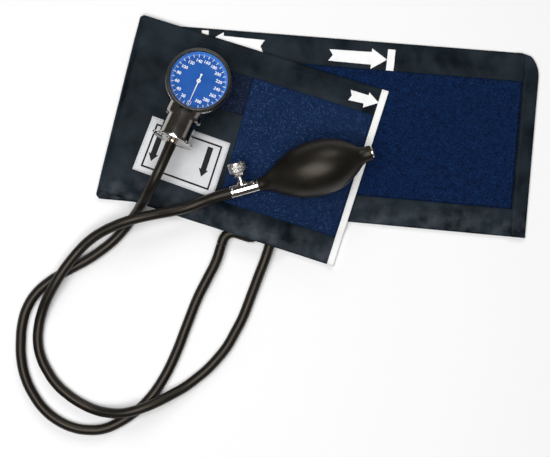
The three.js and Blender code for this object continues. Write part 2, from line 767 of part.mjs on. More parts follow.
// Case, bezel, lens and dial
const rivetPlaces = [-rivetSpread, rivetSpread];
const caseInside = caseRadius - caseWall;
const caseBody = turned([
  [0, 0], [caseRadius - 2, 0], [caseRadius, 2], [caseRadius, caseHeight], [caseInside, caseHeight],
  [caseInside, caseFloor + 1], [caseInside - 1, caseFloor], [0, caseFloor],
], 40);
const stemHole = alongStem(rod(stemRadius + boreGap, 10, caseRadius + 5, 16), neckHeight);
function rivetHole(x, from, to) {
  return rod(rivetRadius + boreGap, from, to, 12).translate(x, rivetAlong, 0);
}
const rivetHoles = rivetPlaces.map((x) => rivetHole(x, -1, caseFloor + 1));
piece(gaugeGroup, 'gauge_case', cut(caseBody, stemHole, ...rivetHoles), blackEnamel);

const bezelFoot = bezelTop - bezelHeight;
const lipUnder = bezelTop - bezelLip;
const bezelOutline = [
  [caseRadius + gap, bezelFoot], [bezelRadius - 0.6, bezelFoot], [bezelRadius, bezelFoot + 0.6],
  [bezelRadius, bezelTop - 1.2], [bezelRadius - 1, bezelTop], [bezelOpening + 0.6, bezelTop],
  [bezelOpening, lipUnder + 0.3], [bezelOpening, lipUnder], [caseRadius + gap, lipUnder],
  [caseRadius + gap, bezelFoot],
];
piece(gaugeGroup, 'bezel_ring', turned(bezelOutline, 40), blackEnamel);
const lensFrom = caseHeight + gap;
piece(gaugeGroup, 'gauge_lens', rod(caseRadius - 0.2, lensFrom, lensFrom + lensThickness, 40), glass);
const needleHeight = dialHeight + dialThickness + 0.9;
piece(
  gaugeGroup, 'dial_plate',
  cut(
    rod(dialRadius, dialHeight, dialHeight + dialThickness, 40),
    rod(arborRadius + boreGap, 0, cutReach, 16),
  ),
  dialBlue,
);
const ringFrom = dialHeight + dialThickness + gap;
const dialRing = ring(dialRadius, dialRadius - dialRingWidth, ringFrom, caseHeight, 40);
piece(gaugeGroup, 'dial_ring', dialRing, dialBlue);

// Pointer with its counterweight tail, at rest towards 6 o'clock
const pointerShape = new THREE.Shape([
  [-0.25, -needleLength], [0.25, -needleLength], [0.45, 0], [0.45, needleTail - 2], [0.9, needleTail],
  [-0.9, needleTail], [-0.45, needleTail - 2], [-0.45, 0],
].map(([x, y]) => flat(x, y)));
const needleBlade = plate(pointerShape, needleHeight, needleHeight + needleThickness);
const needleHub = rod(1.7, needleHeight - 0.3, needleHeight + needleThickness + 0.2, 20);
const needleEye = rod(pivotRadius + boreGap, needleHeight - 2, needleHeight + 3, 12);
piece(gaugeGroup, 'needle', cut(join(needleBlade, needleHub), needleEye), needleWhite);

// Movement plates on three feet
const basePlateHeight = capsuleSeat + capsuleHeight + gap + padThickness + capsuleTravel + 0.2;
const topPlateHeight = basePlateHeight + plateThickness + plateSpacing;
const pinionRadius = toothModule * pinionTeeth / 2;
const sectorRadius = pinionRadius * gearRatio;
const sectorSpot = pinionRadius + sectorRadius;
const pillarSpots = [[-11, 6], [11, 6], [0, -7.5]];
const footAngles = [45, 135, 225, 315];
const pivotSpots = [[0, 0], [0, sectorSpot]];
const pivotHole = ([x, y]) => rod(pivotRadius + boreGap, 0, cutReach, 8).translate(x, y, 0);
const pivotHoles = pivotSpots.map(pivotHole);
function screwHole([x, y]) {
  return rod(screwRadius + boreGap, topPlateHeight - 2, cutReach, 10).translate(x, y, 0);
}
const plateScrewHoles = pillarSpots.map(screwHole);
const shaftSpot = 1.5;
const leverLength = capsuleTravel / radians(rockingSweep);
const leverPinSpot = [shaftSpot + leverLength, 7];
const leverPinHole = rod(leverPinRadius + boreGap, 0, cutReach, 12).translate(...leverPinSpot, 0);
const shaftHeight = basePlateHeight + plateThickness + rockingShaftRadius + boreGap + 0.1;
const shaftFrom = 6;
const shaftTo = 16;
const lugHalf = 1.2;
function shaftLug(y0, y1) {
  const low = basePlateHeight + plateThickness - 0.2;
  const high = shaftHeight + rockingShaftRadius + boreGap + 0.2;
  return box(shaftSpot - lugHalf, shaftSpot + lugHalf, y0, y1, low, high);
}
function alongY(geometry, x, z) {
  return geometry.rotateX(-Math.PI / 2).translate(x, 0, z);
}
const foot = () => rod(footRadius, caseFloor + gap, basePlateHeight + 0.3, 12).translate(footCircle, 0, 0);
const feet = footAngles.map((angle) => foot().rotateZ(radians(angle)));
const basePlateBlank = rod(plateRadius, basePlateHeight, basePlateHeight + plateThickness, 40);
const basePlate = join(basePlateBlank, ...feet, shaftLug(8.5, 9.5), shaftLug(11.8, 12.8));
const lugBore = alongY(rod(rockingShaftRadius + boreGap, 4, 20, 12), shaftSpot, shaftHeight);
const postFrom = -stemReach + 1.5;
const postNotch = box(-postHalf - gap, postHalf + gap, -cutReach, postFrom + gap, 0, cutReach);
const basePlateCut = cut(basePlate, ...pivotHoles, leverPinHole, lugBore, postNotch);
piece(gaugeGroup, 'movement_base_plate', basePlateCut, brass);

const topPlateShape = new THREE.Shape();
topPlateShape.absellipse(0, 4.6, 13.6, 14.4, 0, 2 * Math.PI);
const topPlate = plate(topPlateShape, topPlateHeight, topPlateHeight + plateThickness, 20);
piece(gaugeGroup, 'movement_top_plate', cut(topPlate, ...pivotHoles, ...plateScrewHoles), brass);

pillarSpots.forEach(([x, y], i) => {
  const low = basePlateHeight + plateThickness + gap;
  const pillar = rod(pillarRadius, low, topPlateHeight - gap, 12);
  piece(gaugeGroup, `movement_pillar_${i + 1}`, cut(pillar.translate(x, y, 0), screwHole([x, y])), brass);
  const face = topPlateHeight + plateThickness + gap;
  const head = rod(screwHeadRadius, face, face + screwHeadHeight, 14);
  const shank = rod(screwRadius, topPlateHeight - 1.6, face + 0.2, 10);
  const slot = box(-2, 2, -0.2, 0.2, face + 0.35, face + 1);
  piece(gaugeGroup, `plate_screw_${i + 1}`, cut(join(head, shank), slot).translate(x, y, 0), steel);
});

// Pinion on the pointer's arbor, hairspring round it
function gearShape(teeth, module, count, firstAngle) {
  const pitch = module * teeth / 2;
  const [tip, root] = [pitch + 0.8 * module, pitch - 1.05 * module];
  const pitchAngle = (2 * Math.PI) / teeth;
  const points = [];
  for (let i = 0; i < count; i += 1) {
    const middle = firstAngle + i * pitchAngle;
    const corners = [[root, -0.34], [tip, -0.13], [tip, 0.13], [root, 0.34]];
    corners.forEach(([radius, share]) => {
      const turn = middle + share * pitchAngle;
      points.push(flat(radius * Math.cos(turn), radius * Math.sin(turn)));
    });
  }
  return points;
}
const sectorLevel = topPlateHeight - 0.3 - sectorThickness;
const arborLow = basePlateHeight + plateThickness + 0.2;
const pinionShape = gearShape(pinionTeeth, toothModule, pinionTeeth, Math.PI / pinionTeeth + Math.PI / 2);
const pinionBlank = plate(pinionShape, sectorLevel - 0.4, topPlateHeight - 0.3);
const pinionArbor = rod(arborRadius, arborLow, topPlateHeight - 0.2, 12);
const pinionPivots = rod(pivotRadius, basePlateHeight + 0.1, needleHeight + needleThickness + 0.4, 12);
piece(gaugeGroup, 'pinion_arbor', join(pinionBlank, pinionArbor, pinionPivots), steel);

const springTurns = 3;
const springSteps = 12;
const springStart = arborRadius + gap + 0.15;
const springEnd = 4.2;
function springPoints(offset) {
  const count = springTurns * springSteps;
  return Array.from({ length: count + 1 }, (_, i) => {
    const turn = (i / springSteps) * 2 * Math.PI;
    const radius = lerp(springStart, springEnd, i / count) + offset;
    return [radius * Math.cos(turn), radius * Math.sin(turn)];
  });
}
const springLevel = basePlateHeight + plateThickness + gap;
function springRow(height, offset) {
  return springPoints(offset).map(([x, y]) => new THREE.Vector3(x, y, height));
}
const springTop = [springRow(springLevel + 0.5, -0.1), springRow(springLevel + 0.5, 0.1)];
const springBottom = [springRow(springLevel, -0.1), springRow(springLevel, 0.1)];
piece(gaugeGroup, 'hairspring', sheetSolid(springTop, springBottom), brass);

// Toothed sector on its own arbor, with a drive pin behind the pivot
const sectorTeeth = pinionTeeth * gearRatio;
const sectorSweep = needleSweep / gearRatio;
const sectorCount = 12;
const toothPitch = 360 / sectorTeeth;
const teethBeforeMesh = 9;
const sectorRest = -sectorSweep / 2;
const tailHalfWidth = 0.75;
const tailEnd = 2.6;
function sectorGeometry() {
  const first = -90 - sectorRest - toothPitch * teethBeforeMesh;
  const rim = gearShape(sectorTeeth, toothModule, sectorCount, radians(first));
  const outline = [flat(1.1, 0.3), flat(-1.1, 0.3), ...rim];
  const level = [sectorLevel, sectorLevel + sectorThickness];
  const tail = box(-tailHalfWidth, tailHalfWidth, 0, tailEnd, ...level);
  const opening = [flat(-1.2, -5), flat(1.2, -5), flat(2.6, -9.8), flat(-2.6, -9.8)];
  const window = plate(opening, level[0] - 1, level[1] + 1);
  const arbor = rod(arborRadius, arborLow, topPlateHeight - 0.2, 12);
  const pivots = rod(pivotRadius, basePlateHeight + 0.1, topPlateHeight + plateThickness - 0.1, 12);
  return cut(join(plate(outline, ...level), tail, arbor, pivots), window);
}
const sector = sectorGeometry().rotateZ(radians(sectorRest)).translate(0, sectorSpot, 0);
piece(gaugeGroup, 'sector_gear', sector, brass);

// Rocking shaft: a lever over the push rod's pin and an upright arm beside the sector's tail
const shaft = alongY(rod(rockingShaftRadius, shaftFrom, shaftTo, 12), shaftSpot, shaftHeight);
const leverHalf = 0.2;
const leverEnd = leverPinSpot[0] + 0.5;
const lever = box(shaftSpot, leverEnd, 6.4, 7.6, shaftHeight - leverHalf, shaftHeight + leverHalf);
const upright = box(-0.3, 0.3, 15, 15.6, 0, sectorLevel + sectorThickness - shaftHeight);
upright.rotateY(radians(rockingSweep / 2)).translate(shaftSpot, 0, shaftHeight);
piece(gaugeGroup, 'rocking_shaft', join(shaft, lever, upright), steel);

// Push rod: a foot on the capsule, an arm and a pin up through the base plate
const rodFoot = capsuleSeat + capsuleHeight + gap;
const pinTop = shaftHeight - leverHalf - gap;
const rodPad = rod(2, rodFoot, rodFoot + padThickness, 16);
const rodArm = box(0, Math.hypot(...leverPinSpot), -0.7, 0.7, rodFoot, rodFoot + padThickness);
rodArm.rotateZ(Math.atan2(leverPinSpot[1], leverPinSpot[0]));
const rodPin = rod(leverPinRadius, rodFoot, pinTop, 12).translate(...leverPinSpot, 0);
piece(gaugeGroup, 'push_rod', join(rodPad, rodArm, rodPin), steel);

// Capsule: two corrugated diaphragms, over the arm that brings it air from the stem
const capsuleOutline = [
  [0, 0], [2.2, 0], [2.6, 0.9], [4.6, 0.5], [6.6, 1], [8.6, 0.6], [10.4, 1.1], [capsuleRadius, 1.7],
];
const capsuleProfile = [
  ...capsuleOutline.map(([r, z]) => [r, capsuleSeat + z]),
  ...capsuleOutline.map(([r, z]) => [r, capsuleSeat + capsuleHeight - z]).reverse(),
];
piece(gaugeGroup, 'capsule', turned(capsuleProfile, 20), brass);

const armTop = capsuleSeat - gap;
const postTop = neckHeight + 3.2;
const socketPost = box(-postHalf, postHalf, postFrom - postDepth, postFrom, caseFloor + gap, postTop);
const socketArm = box(-2.4, 2.4, postFrom - 1, 3, caseFloor + gap, armTop - 0.2);
const socketBoss = rod(3.2, caseFloor + gap, armTop, 20);
const socketHole = alongStem(rod(stemRadius + boreGap, stemReach - gap, cutReach, 16), neckHeight);
piece(gaugeGroup, 'capsule_socket', cut(join(socketPost, socketArm, socketBoss), socketHole), brass);

// Neck on the side of the case, with its saddle, and the flange that closes it
const neckInner = neckRadius - neckWall;
const neckTube = alongStem(ring(neckRadius, neckInner, 20, neckReach, 28), neckHeight);
const saddleBlank = ring(saddleRadius, neckInner, 20, saddleReach, 28).scale(1, saddleFlatness, 1);
const saddle = cut(alongStem(saddleBlank, neckHeight), alongStem(rod(neckInner, 10, 40, 28), neckHeight));
const caseClear = rod(caseRadius + gap, -cutReach, cutReach, 40);
const bezelClear = rod(bezelRadius + gap, bezelFoot - gap, cutReach, 44);
piece(gaugeGroup, 'gauge_neck', cut(join(neckTube, saddle), caseClear, bezelClear), chrome);

const flangeFrom = neckReach + gap;
const bossEnd = flangeFrom + flangeThickness + hoseBossLength;
const flangeOutline = [
  [stemBore, stemReach], [stemRadius, stemReach], [stemRadius, flangeFrom - 4], [3.4, flangeFrom - 3],
  [neckInner - boreGap, flangeFrom - 3], [neckInner - boreGap, flangeFrom],
  [flangeRadius - 0.5, flangeFrom], [flangeRadius, flangeFrom + 0.5],
  [flangeRadius, flangeFrom + flangeThickness - 0.5],
  [flangeRadius - 0.5, flangeFrom + flangeThickness], [hoseBossRadius, flangeFrom + flangeThickness],
  [hoseBossRadius, bossEnd], [nippleRadius - 0.3, bossEnd], [nippleRadius - 0.3, bossEnd + 1.6],
  [nippleRadius, bossEnd + 1.7], [nippleRadius - 0.3, bossEnd + 3.6], [nippleRadius, bossEnd + 3.7],
  [nippleRadius - 0.5, bossEnd + nippleLength], [stemBore, bossEnd + nippleLength], [stemBore, stemReach],
];
piece(gaugeGroup, 'neck_end_cap', alongStem(turned(flangeOutline, 24), neckHeight), chrome);

// Spring clip on the case's back, its blade under the strap
const tiltSine = Math.sin(radians(gaugeTilt));
const tiltCosine = Math.cos(radians(gaugeTilt));
function bladeLevel(y, height) {
  return (height - gaugeHeight + y * tiltSine) / tiltCosine;
}
const plateFrom = -gap - clipThickness;
const bladeEnd = clipReach - clipBladeLength;
const bendInside = clipReach - clipThickness - 0.3;
const clipOutline = [
  [-clipTail, -gap], [clipReach - 0.8, -gap], [clipReach, -gap - 0.9],
  [clipReach, bladeLevel(clipReach, bladeFloor)], [bladeEnd, bladeLevel(bladeEnd, bladeFloor)],
  [bladeEnd, bladeLevel(bladeEnd, bladeTop)], [bendInside, bladeLevel(clipReach - 1, bladeTop)],
  [bendInside, plateFrom], [-clipTail, plateFrom],
];
const clipShape = new THREE.Shape(clipOutline.map(([y, z]) => flat(y, z)));
const clipBlank = new THREE.ExtrudeGeometry(clipShape, { depth: clipWidth, bevelEnabled: false });
clipBlank.translate(0, 0, -clipWidth / 2).rotateY(Math.PI / 2).rotateX(Math.PI / 2);
const clipHoles = rivetPlaces.map((x) => rivetHole(x, plateFrom - 1, 1));
piece(gaugeGroup, 'belt_clip', cut(clipBlank, ...clipHoles), steel);
rivetPlaces.forEach((x, i) => {
  const low = plateFrom - gap;
  const high = caseFloor + gap;
  const outline = [
    [0, low - rivetHeadHeight], [rivetHead, low - rivetHeadHeight], [rivetHead, low], [rivetRadius, low],
    [rivetRadius, high], [rivetHead, high],
    [rivetHead, high + rivetHeadHeight], [0, high + rivetHeadHeight],
  ];
  piece(gaugeGroup, `clip_rivet_${i + 1}`, turned(outline, 12).translate(x, rivetAlong, 0), steel);
});

// Bulb frame: local +Y runs from the valve to the bulb's tip, local -X to the thumb screw
bulbGroup.rotation.set(radians(bulbTilt), 0, -radians(90 - bulbTurn), 'ZXY');
const bulbAxis = new THREE.Vector3(0, 1, 0).applyEuler(bulbGroup.rotation);
const bulbUp = new THREE.Vector3(0, 0, 1).applyEuler(bulbGroup.rotation);
const hookTopAt = (spot) => frontTop(spot) + gap + hookThickness;
const bulbHeight = Math.max(...bulbOutline.map(([along, radius]) => {
  const low = bulbAxis.clone().multiplyScalar(along).addScaledVector(bulbUp, -radius);
  return hookTopAt(new THREE.Vector2(bulbSpot.x + low.x, bulbSpot.y + low.y)) + gap - low.z;
}));
bulbGroup.position.set(bulbSpot.x, bulbSpot.y, bulbHeight);

function turnedAlong(outline, sides = 24) {
  return new THREE.LatheGeometry(outline.map(([radius, along]) => new THREE.Vector2(radius, along)), sides);
}

// Hollow rubber bulb, open at both necks
const bulbFrom = bulbOutline[0][0];
const bulbTo = bulbOutline[bulbOutline.length - 1][0];
const bulbInside = bulbOutline.map(([along, radius]) => [Math.max(bulbBore, radius - bulbWall), along]);
const bulbSkin = bulbOutline.map(([along, radius]) => [radius, along]);
const bulbProfile = [...bulbSkin, ...bulbInside.reverse(), bulbSkin[0]];
piece(bulbGroup, 'bulb_shell', turnedAlong(bulbProfile, 22), rubber);

// Inlet valve in the bulb's tip, with its loose disc
const inletStem = bulbBore - boreGap;
const inletSeat = bulbTo - 5;
const inletEnd = bulbTo - 8;
const inletOutline = [
  [0.9, bulbTo + gap + inletFlange], [inletRadius - 0.4, bulbTo + gap + inletFlange],
  [inletRadius, bulbTo + gap + inletFlange - 0.4], [inletRadius, bulbTo + gap], [inletStem, bulbTo + gap],
  [inletStem, inletEnd], [1.3, inletEnd], [1.3, inletEnd + 0.4], [2.1, inletEnd + 0.4], [2.1, inletSeat],
  [0.9, inletSeat], [0.9, bulbTo + gap + inletFlange],
];
piece(bulbGroup, 'inlet_valve_body', turnedAlong(inletOutline, 18), chrome);
function disc(radius, from, to, sides) {
  return turnedAlong([[0, from], [radius, from], [radius, to], [0, to]], sides);
}
const inletDisc = disc(1.75, inletSeat - gap - 0.6, inletSeat - gap, 16);
piece(bulbGroup, 'inlet_valve_disc', inletDisc, rubber);

// Outlet valve: body with hose nipple, cap with bulb nipple, check disc between them
const capFrom = bulbFrom - gap;
const capTo = capFrom - valveCapLength;
const bodyFrom = capTo - gap;
const bodyTo = bulbFrom - valveLength;
const spigotRadius = chamberRadius - boreGap;
const spigotEnd = capTo - 1.8;
const capOutline = [
  [airBore, bulbFrom + 7], [inletStem - 0.3, bulbFrom + 7], [inletStem, bulbFrom + 5],
  [inletStem - 0.3, bulbFrom + 4.8], [inletStem - 0.3, capFrom], [valveRadius - 0.3, capFrom],
  [valveRadius, capFrom - 0.3], [valveRadius, capTo], [spigotRadius, capTo], [spigotRadius, spigotEnd],
  [airBore, spigotEnd], [airBore, bulbFrom + 7],
];
piece(bulbGroup, 'bulb_nipple', turnedAlong(capOutline, 18), chrome);
const checkFrom = spigotEnd - gap;
piece(bulbGroup, 'check_disc', disc(checkRadius, checkFrom - checkThickness, checkFrom, 20), rubber);

const nippleNeck = nippleRadius - 0.3;
const nippleEnd = bodyTo - nippleLength;
const chamberEnd = bodyFrom - chamberDepth;
const bodyOutline = [
  [chamberRadius, bodyFrom], [valveRadius, bodyFrom], [valveRadius, bodyTo + 0.5],
  [valveRadius - 0.5, bodyTo], [nippleNeck, bodyTo], [nippleNeck, bodyTo - 1.6],
  [nippleRadius, bodyTo - 1.7], [nippleNeck, bodyTo - 3.6], [nippleRadius, bodyTo - 3.7],
  [nippleRadius - 0.5, nippleEnd], [airBore, nippleEnd], [airBore, chamberEnd],
  [chamberRadius, chamberEnd], [chamberRadius, bodyFrom],
];
function alongScrew(geometry) {
  return geometry.rotateY(radians(screwLean - 90)).translate(0, screwAlong, 0);
}
const screwBoss = alongScrew(rod(screwBossRadius, 3, screwBossReach, 20));
const screwWay = alongScrew(rod(screwHoleRadius, 0, 12, 16));
const bossRecess = alongScrew(rod(screwNeckRadius + boreGap, screwBossReach - 1.6, 12, 20));
const airWay = disc(airBore, bodyTo - cutReach, bodyFrom, 20);
const valveBarrel = cut(join(turnedAlong(bodyOutline, 20), screwBoss), screwWay, bossRecess, airWay);
piece(bulbGroup, 'valve_body', valveBarrel, chrome);

// Thumb screw with a ribbed head and a cone tip, and the ring in its groove
const tipReach = 0.7;
const grooveFrom = screwBossReach - 1.6 + gap;
const grooveTo = grooveFrom + 1.1;
const neckUnder = screwNeckRadius - 0.3;
const headEnd = screwHeadStart + screwHeadLength;
const screwOutline = [
  [0, tipReach], [0.5, tipReach], [screwShankRadius, tipReach + 1.5], [screwShankRadius, grooveTo],
  [neckUnder, grooveTo], [neckUnder, screwHeadStart], [thumbTaper, screwHeadStart],
  [thumbRadius - 0.7, screwHeadStart + 3.6], [thumbRadius - 0.5, headEnd - 0.6],
  [thumbRadius - 1.2, headEnd], [0, headEnd],
];
const thumbShape = new THREE.Shape(Array.from({ length: thumbRibs * 4 }, (_, i) => {
  const radius = i % 4 < 2 ? thumbRadius : thumbRadius - 0.5;
  const turn = (i / (thumbRibs * 4)) * 2 * Math.PI;
  return flat(radius * Math.cos(turn), radius * Math.sin(turn));
}));
const knurl = plate(thumbShape, screwHeadStart + 3.8, headEnd - 0.8);
piece(bulbGroup, 'thumb_screw', alongScrew(join(turned(screwOutline, 16), knurl)), chrome);
const ringOutside = screwNeckRadius - 0.1;
const sealFrom = grooveFrom + 0.1;
piece(
  bulbGroup, 'screw_seal',
  alongScrew(ring(ringOutside, screwShankRadius + gap, sealFrom, sealFrom + ringThickness + 0.2, 20)),
  rubber,
);

// Hoses: each starts at its metal nipple and ends on a bladder outlet, bored at both ends
gaugeGroup.updateMatrixWorld(true);
bulbGroup.updateMatrixWorld(true);
const gaugeEnd = gaugeGroup.localToWorld(new THREE.Vector3(0, -(bossEnd + gap), neckHeight));
const valveEnd = bulbGroup.localToWorld(new THREE.Vector3(0, bodyTo - gap, 0));

const hoseStraight = 13;
function hose(start, startAxis, route, end, endAxis) {
  const points = [
    start, start.clone().addScaledVector(startAxis, hoseStraight),
    ...route.map(([x, y, z]) => new THREE.Vector3(x, y, z)),
    end.clone().addScaledVector(endAxis, hoseStraight), end,
  ];
  const bores = [[start, startAxis], [end, endAxis]].map(([place, axis]) => (
    pointing(rod(nippleRadius + boreGap, -1, nippleLength + 1.5, 12), place, axis)
  ));
  return cut(tube(points, hoseRadius, hoseSides, hoseStep), ...bores);
}
const stemAxis = new THREE.Vector3(0, -1, 0).applyQuaternion(gaugeGroup.quaternion);
const valveAxis = new THREE.Vector3(0, -1, 0).applyQuaternion(bulbGroup.quaternion);
const elbowFace = elbowEnd.clone().addScaledVector(outward, gap);
const spoutFace = spoutEnd.clone().addScaledVector(outward, gap);
piece(object, 'gauge_hose', hose(gaugeEnd, stemAxis, gaugeHoseRoute, elbowFace, outward), rubber);
piece(object, 'bulb_hose', hose(valveEnd, valveAxis, bulbHoseRoute, spoutFace, outward), rubber);

// The origin goes under the middle of everything but the hoses
object.updateMatrixWorld(true);
const extent = new THREE.Box3();
for (const group of [cuffGroup, gaugeGroup, bulbGroup]) extent.expandByObject(group, true);
object.position.set(-(extent.min.x + extent.max.x) / 2, -(extent.min.y + extent.max.y) / 2, -extent.min.z);
object.updateMatrixWorld(true);

export default object;
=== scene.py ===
import math

import bmesh
import bpy
from mathutils import Matrix, Vector, noise
from mathutils.bvhtree import BVHTree


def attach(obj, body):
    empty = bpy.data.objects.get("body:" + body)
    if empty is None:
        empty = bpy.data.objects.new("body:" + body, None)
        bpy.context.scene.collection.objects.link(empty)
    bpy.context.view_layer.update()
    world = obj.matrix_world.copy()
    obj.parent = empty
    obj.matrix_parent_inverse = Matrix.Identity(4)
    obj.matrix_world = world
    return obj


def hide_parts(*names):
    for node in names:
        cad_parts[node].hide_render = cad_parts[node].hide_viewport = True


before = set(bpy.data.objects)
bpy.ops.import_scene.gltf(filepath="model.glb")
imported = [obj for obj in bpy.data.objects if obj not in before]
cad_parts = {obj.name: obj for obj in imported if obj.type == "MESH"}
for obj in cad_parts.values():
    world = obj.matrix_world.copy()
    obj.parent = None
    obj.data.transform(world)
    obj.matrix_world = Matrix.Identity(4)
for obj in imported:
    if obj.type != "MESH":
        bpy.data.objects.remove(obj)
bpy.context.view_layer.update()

# The camera hangs straight over the set, 1.3 m above the table, as in the photograph.
# Its view is 432 mm wide on the table, and its top side is the side of the cuff away from the hoses.
mm = 0.001
camera_place = Vector((-33.2, -68.7, 1300)) * mm
view_width = 432 * mm
lens = bpy.data.cameras.new("camera")
lens.sensor_width = 36
lens.lens = lens.sensor_width * camera_place.z / view_width


def set_down(name, data):
    """Brings a camera, a lamp or a piece into the scene, at the origin until it is moved."""
    thing = bpy.data.objects.new(name, data)
    bpy.context.scene.collection.objects.link(thing)
    return thing


camera = set_down("camera", lens)
camera.location = camera_place
bpy.context.scene.camera = camera


# The table is a smooth white sheet, and the room round it is dim, so the chrome has darks to mirror.
# A wide soft lamp beyond the cuff throws the shadows towards the hoses, and a smaller one overhead
# gives the long glint on the bulb.
def shader_of(material):
    return material.node_tree.nodes["Principled BSDF"]


def plain_finish(name, roughness=0.5, metallic=0.0, specular=0.5):
    material = bpy.data.materials.new(name)
    material.use_nodes = True
    shader = shader_of(material)
    shader.inputs["Roughness"].default_value = roughness
    shader.inputs["Metallic"].default_value = metallic
    shader.inputs["Specular IOR Level"].default_value = specular
    return material


def smooth_piece(name, shell, material):
    """One smooth piece of one finish from its shell, which is used up."""
    skin = bpy.data.meshes.new(name)
    shell.to_mesh(skin)
    shell.free()
    skin.polygons.foreach_set("use_smooth", [True] * len(skin.polygons))
    skin.materials.append(material)
    return set_down(name, skin)


table_half = 3
table_drop = 0.2 * mm
table_white = plain_finish("table_white", roughness=0.8, specular=0.1)
shader_of(table_white).inputs["Base Color"].default_value = (0.9, 0.9, 0.905, 1)
table_sheet = bmesh.new()
bmesh.ops.create_grid(table_sheet, x_segments=1, y_segments=1, size=table_half)
bmesh.ops.translate(table_sheet, verts=table_sheet.verts, vec=(0, 0, -table_drop))
table = smooth_piece("table", table_sheet, table_white)


def soft_lamp(name, place, target, width, height, power):
    lamp = bpy.data.lights.new(name, "AREA")
    lamp.shape = "RECTANGLE"
    lamp.size, lamp.size_y, lamp.energy = width, height, power
    holder = set_down(name, lamp)
    holder.location = place
    holder.rotation_euler = (Vector(target) - Vector(place)).to_track_quat("-Z", "Y").to_euler()


soft_lamp("far_lamp", (0.3, 2.2, 2.0), (0, 0, 0), 1.8, 1.4, 28)
soft_lamp("left_lamp", (-1.9, -0.1, 0.4), (0, 0, 0), 0.18, 1.6, 0.4)
soft_lamp("right_lamp", (1.9, -0.3, 0.4), (0, 0, 0), 0.18, 1.6, 0.4)
soft_lamp("overhead_lamp", (-0.3, -0.24, 1.55), (-0.08, -0.06, 0), 1.3, 0.9, 25)

studio = bpy.data.worlds.new("studio")
studio.use_nodes = True
bpy.context.scene.world = studio
room_light = studio.node_tree.nodes["Background"]
room_light.inputs["Color"].default_value = (1, 0.93, 0.86, 1)
room_light.inputs["Strength"].default_value = 0.07
bpy.context.scene.view_settings.view_transform = "Standard"


# The two hoses are smooth black rubber, 8 mm thick, pushed over barbed metal and rubber nipples.
# Each lies in the loops of the photograph: one from the gauge's stem to the bladder's elbow,
# and one from the bulb's valve to the bladder's spout, over the other one where they cross.
layout_shift = Vector((-0.2349, 0.5075, 0))


def in_frame(point):
    return (Vector(point) + layout_shift) * mm


def finish_node(tree, kind, sockets=(), **settings):
    """A node of a finish. Each of its sockets is joined to an output or holds a value."""
    node = tree.nodes.new(kind)
    for setting, value in settings.items():
        setattr(node, setting, value)
    for socket, value in dict(sockets).items():
        if isinstance(value, bpy.types.NodeSocket):
            tree.links.new(value, node.inputs[socket])
        else:
            node.inputs[socket].default_value = value
    return node


def stretched(tree, mask, low, high, start=0, finish=1):
    """Carries the part of a mask between low and high over to start and finish."""
    limits = {"Value": mask, "From Min": low, "From Max": high, "To Min": start, "To Max": finish}
    return finish_node(tree, "ShaderNodeMapRange", limits).outputs["Result"]


def coloured(material, mask, low, dark, high, light):
    """Colours a finish from dark to light as a mask rises from low to high."""
    ramp = finish_node(material.node_tree, "ShaderNodeValToRGB", {"Fac": mask})
    ramp.color_ramp.elements[0].position = low
    ramp.color_ramp.elements[0].color = (*dark, 1)
    ramp.color_ramp.elements[1].position = high
    ramp.color_ramp.elements[1].color = (*light, 1)
    material.node_tree.links.new(ramp.outputs["Color"], shader_of(material).inputs["Base Color"])


def bumped(material, height, depth, invert=False):
    """Lays a bump of that depth in millimetres over the bump that a finish has so far."""
    tree, normal = material.node_tree, shader_of(material).inputs["Normal"]
    sockets = {"Distance": depth * mm, "Height": height}
    if normal.is_linked:
        sockets["Normal"] = normal.links[0].from_socket
    bump = finish_node(tree, "ShaderNodeBump", sockets, invert=invert)
    tree.links.new(bump.outputs["Normal"], normal)


def new_group(name, sizes, outputs):
    """A node group that takes a vector and some sizes, with its entry and its end."""
    group = bpy.data.node_groups.new(name, "ShaderNodeTree")
    group.interface.new_socket("Vector", in_out="INPUT", socket_type="NodeSocketVector")
    for socket in sizes:
        group.interface.new_socket(socket, in_out="INPUT", socket_type="NodeSocketFloat")
    for socket in outputs:
        group.interface.new_socket(socket, in_out="OUTPUT", socket_type="NodeSocketFloat")
    return group, group.nodes.new("NodeGroupInput"), group.nodes.new("NodeGroupOutput")


def grain_group():
    """Fine surface grain: a height for Bump and a slow mask for colour and gloss."""
    sizes, outputs = ("Grain Scale", "Patch Scale"), ("Height", "Patches")
    group, entry, leave = new_group("moulded_grain", sizes, outputs)
    for size, detail, output in zip(sizes, (3, 4), outputs):
        speckle = finish_node(group, "ShaderNodeTexNoise", {
            "Detail": detail, "Vector": entry.outputs["Vector"], "Scale": entry.outputs[size],
        })
        group.links.new(speckle.outputs["Fac"], leave.inputs[output])
    return group


moulded_grain = grain_group()


def grained(name, dark, light, grain, patches, depth, gloss, metallic=0.0, specular=0.5):
    """A finish whose colour and gloss vary in slow patches, with a fine grain, in millimetres."""
    material = plain_finish(name, metallic=metallic, specular=specular)
    tree = material.node_tree
    mould = finish_node(tree, "ShaderNodeGroup", {
        "Vector": tree.nodes.new("ShaderNodeTexCoord").outputs["Object"],
        "Grain Scale": 1 / (grain * mm), "Patch Scale": 1 / (patches * mm),
    }, node_tree=moulded_grain)
    mask = mould.outputs["Patches"]
    coloured(material, mask, 0.35, dark, 0.65, light)
    tree.links.new(stretched(tree, mask, 0.3, 0.7, *gloss), shader_of(material).inputs["Roughness"])
    bumped(material, mould.outputs["Height"], depth)
    return material


rubber = grained(
    "black_rubber", (0.0055, 0.005, 0.004), (0.0078, 0.007, 0.0058), 0.4, 14, 0.02, (0.35, 0.42),
    specular=0.3,
)
shader_of(rubber).inputs["Specular Tint"].default_value = (1, 0.88, 0.74, 1)
hose_radius = 4 * mm
hose_straight = 13


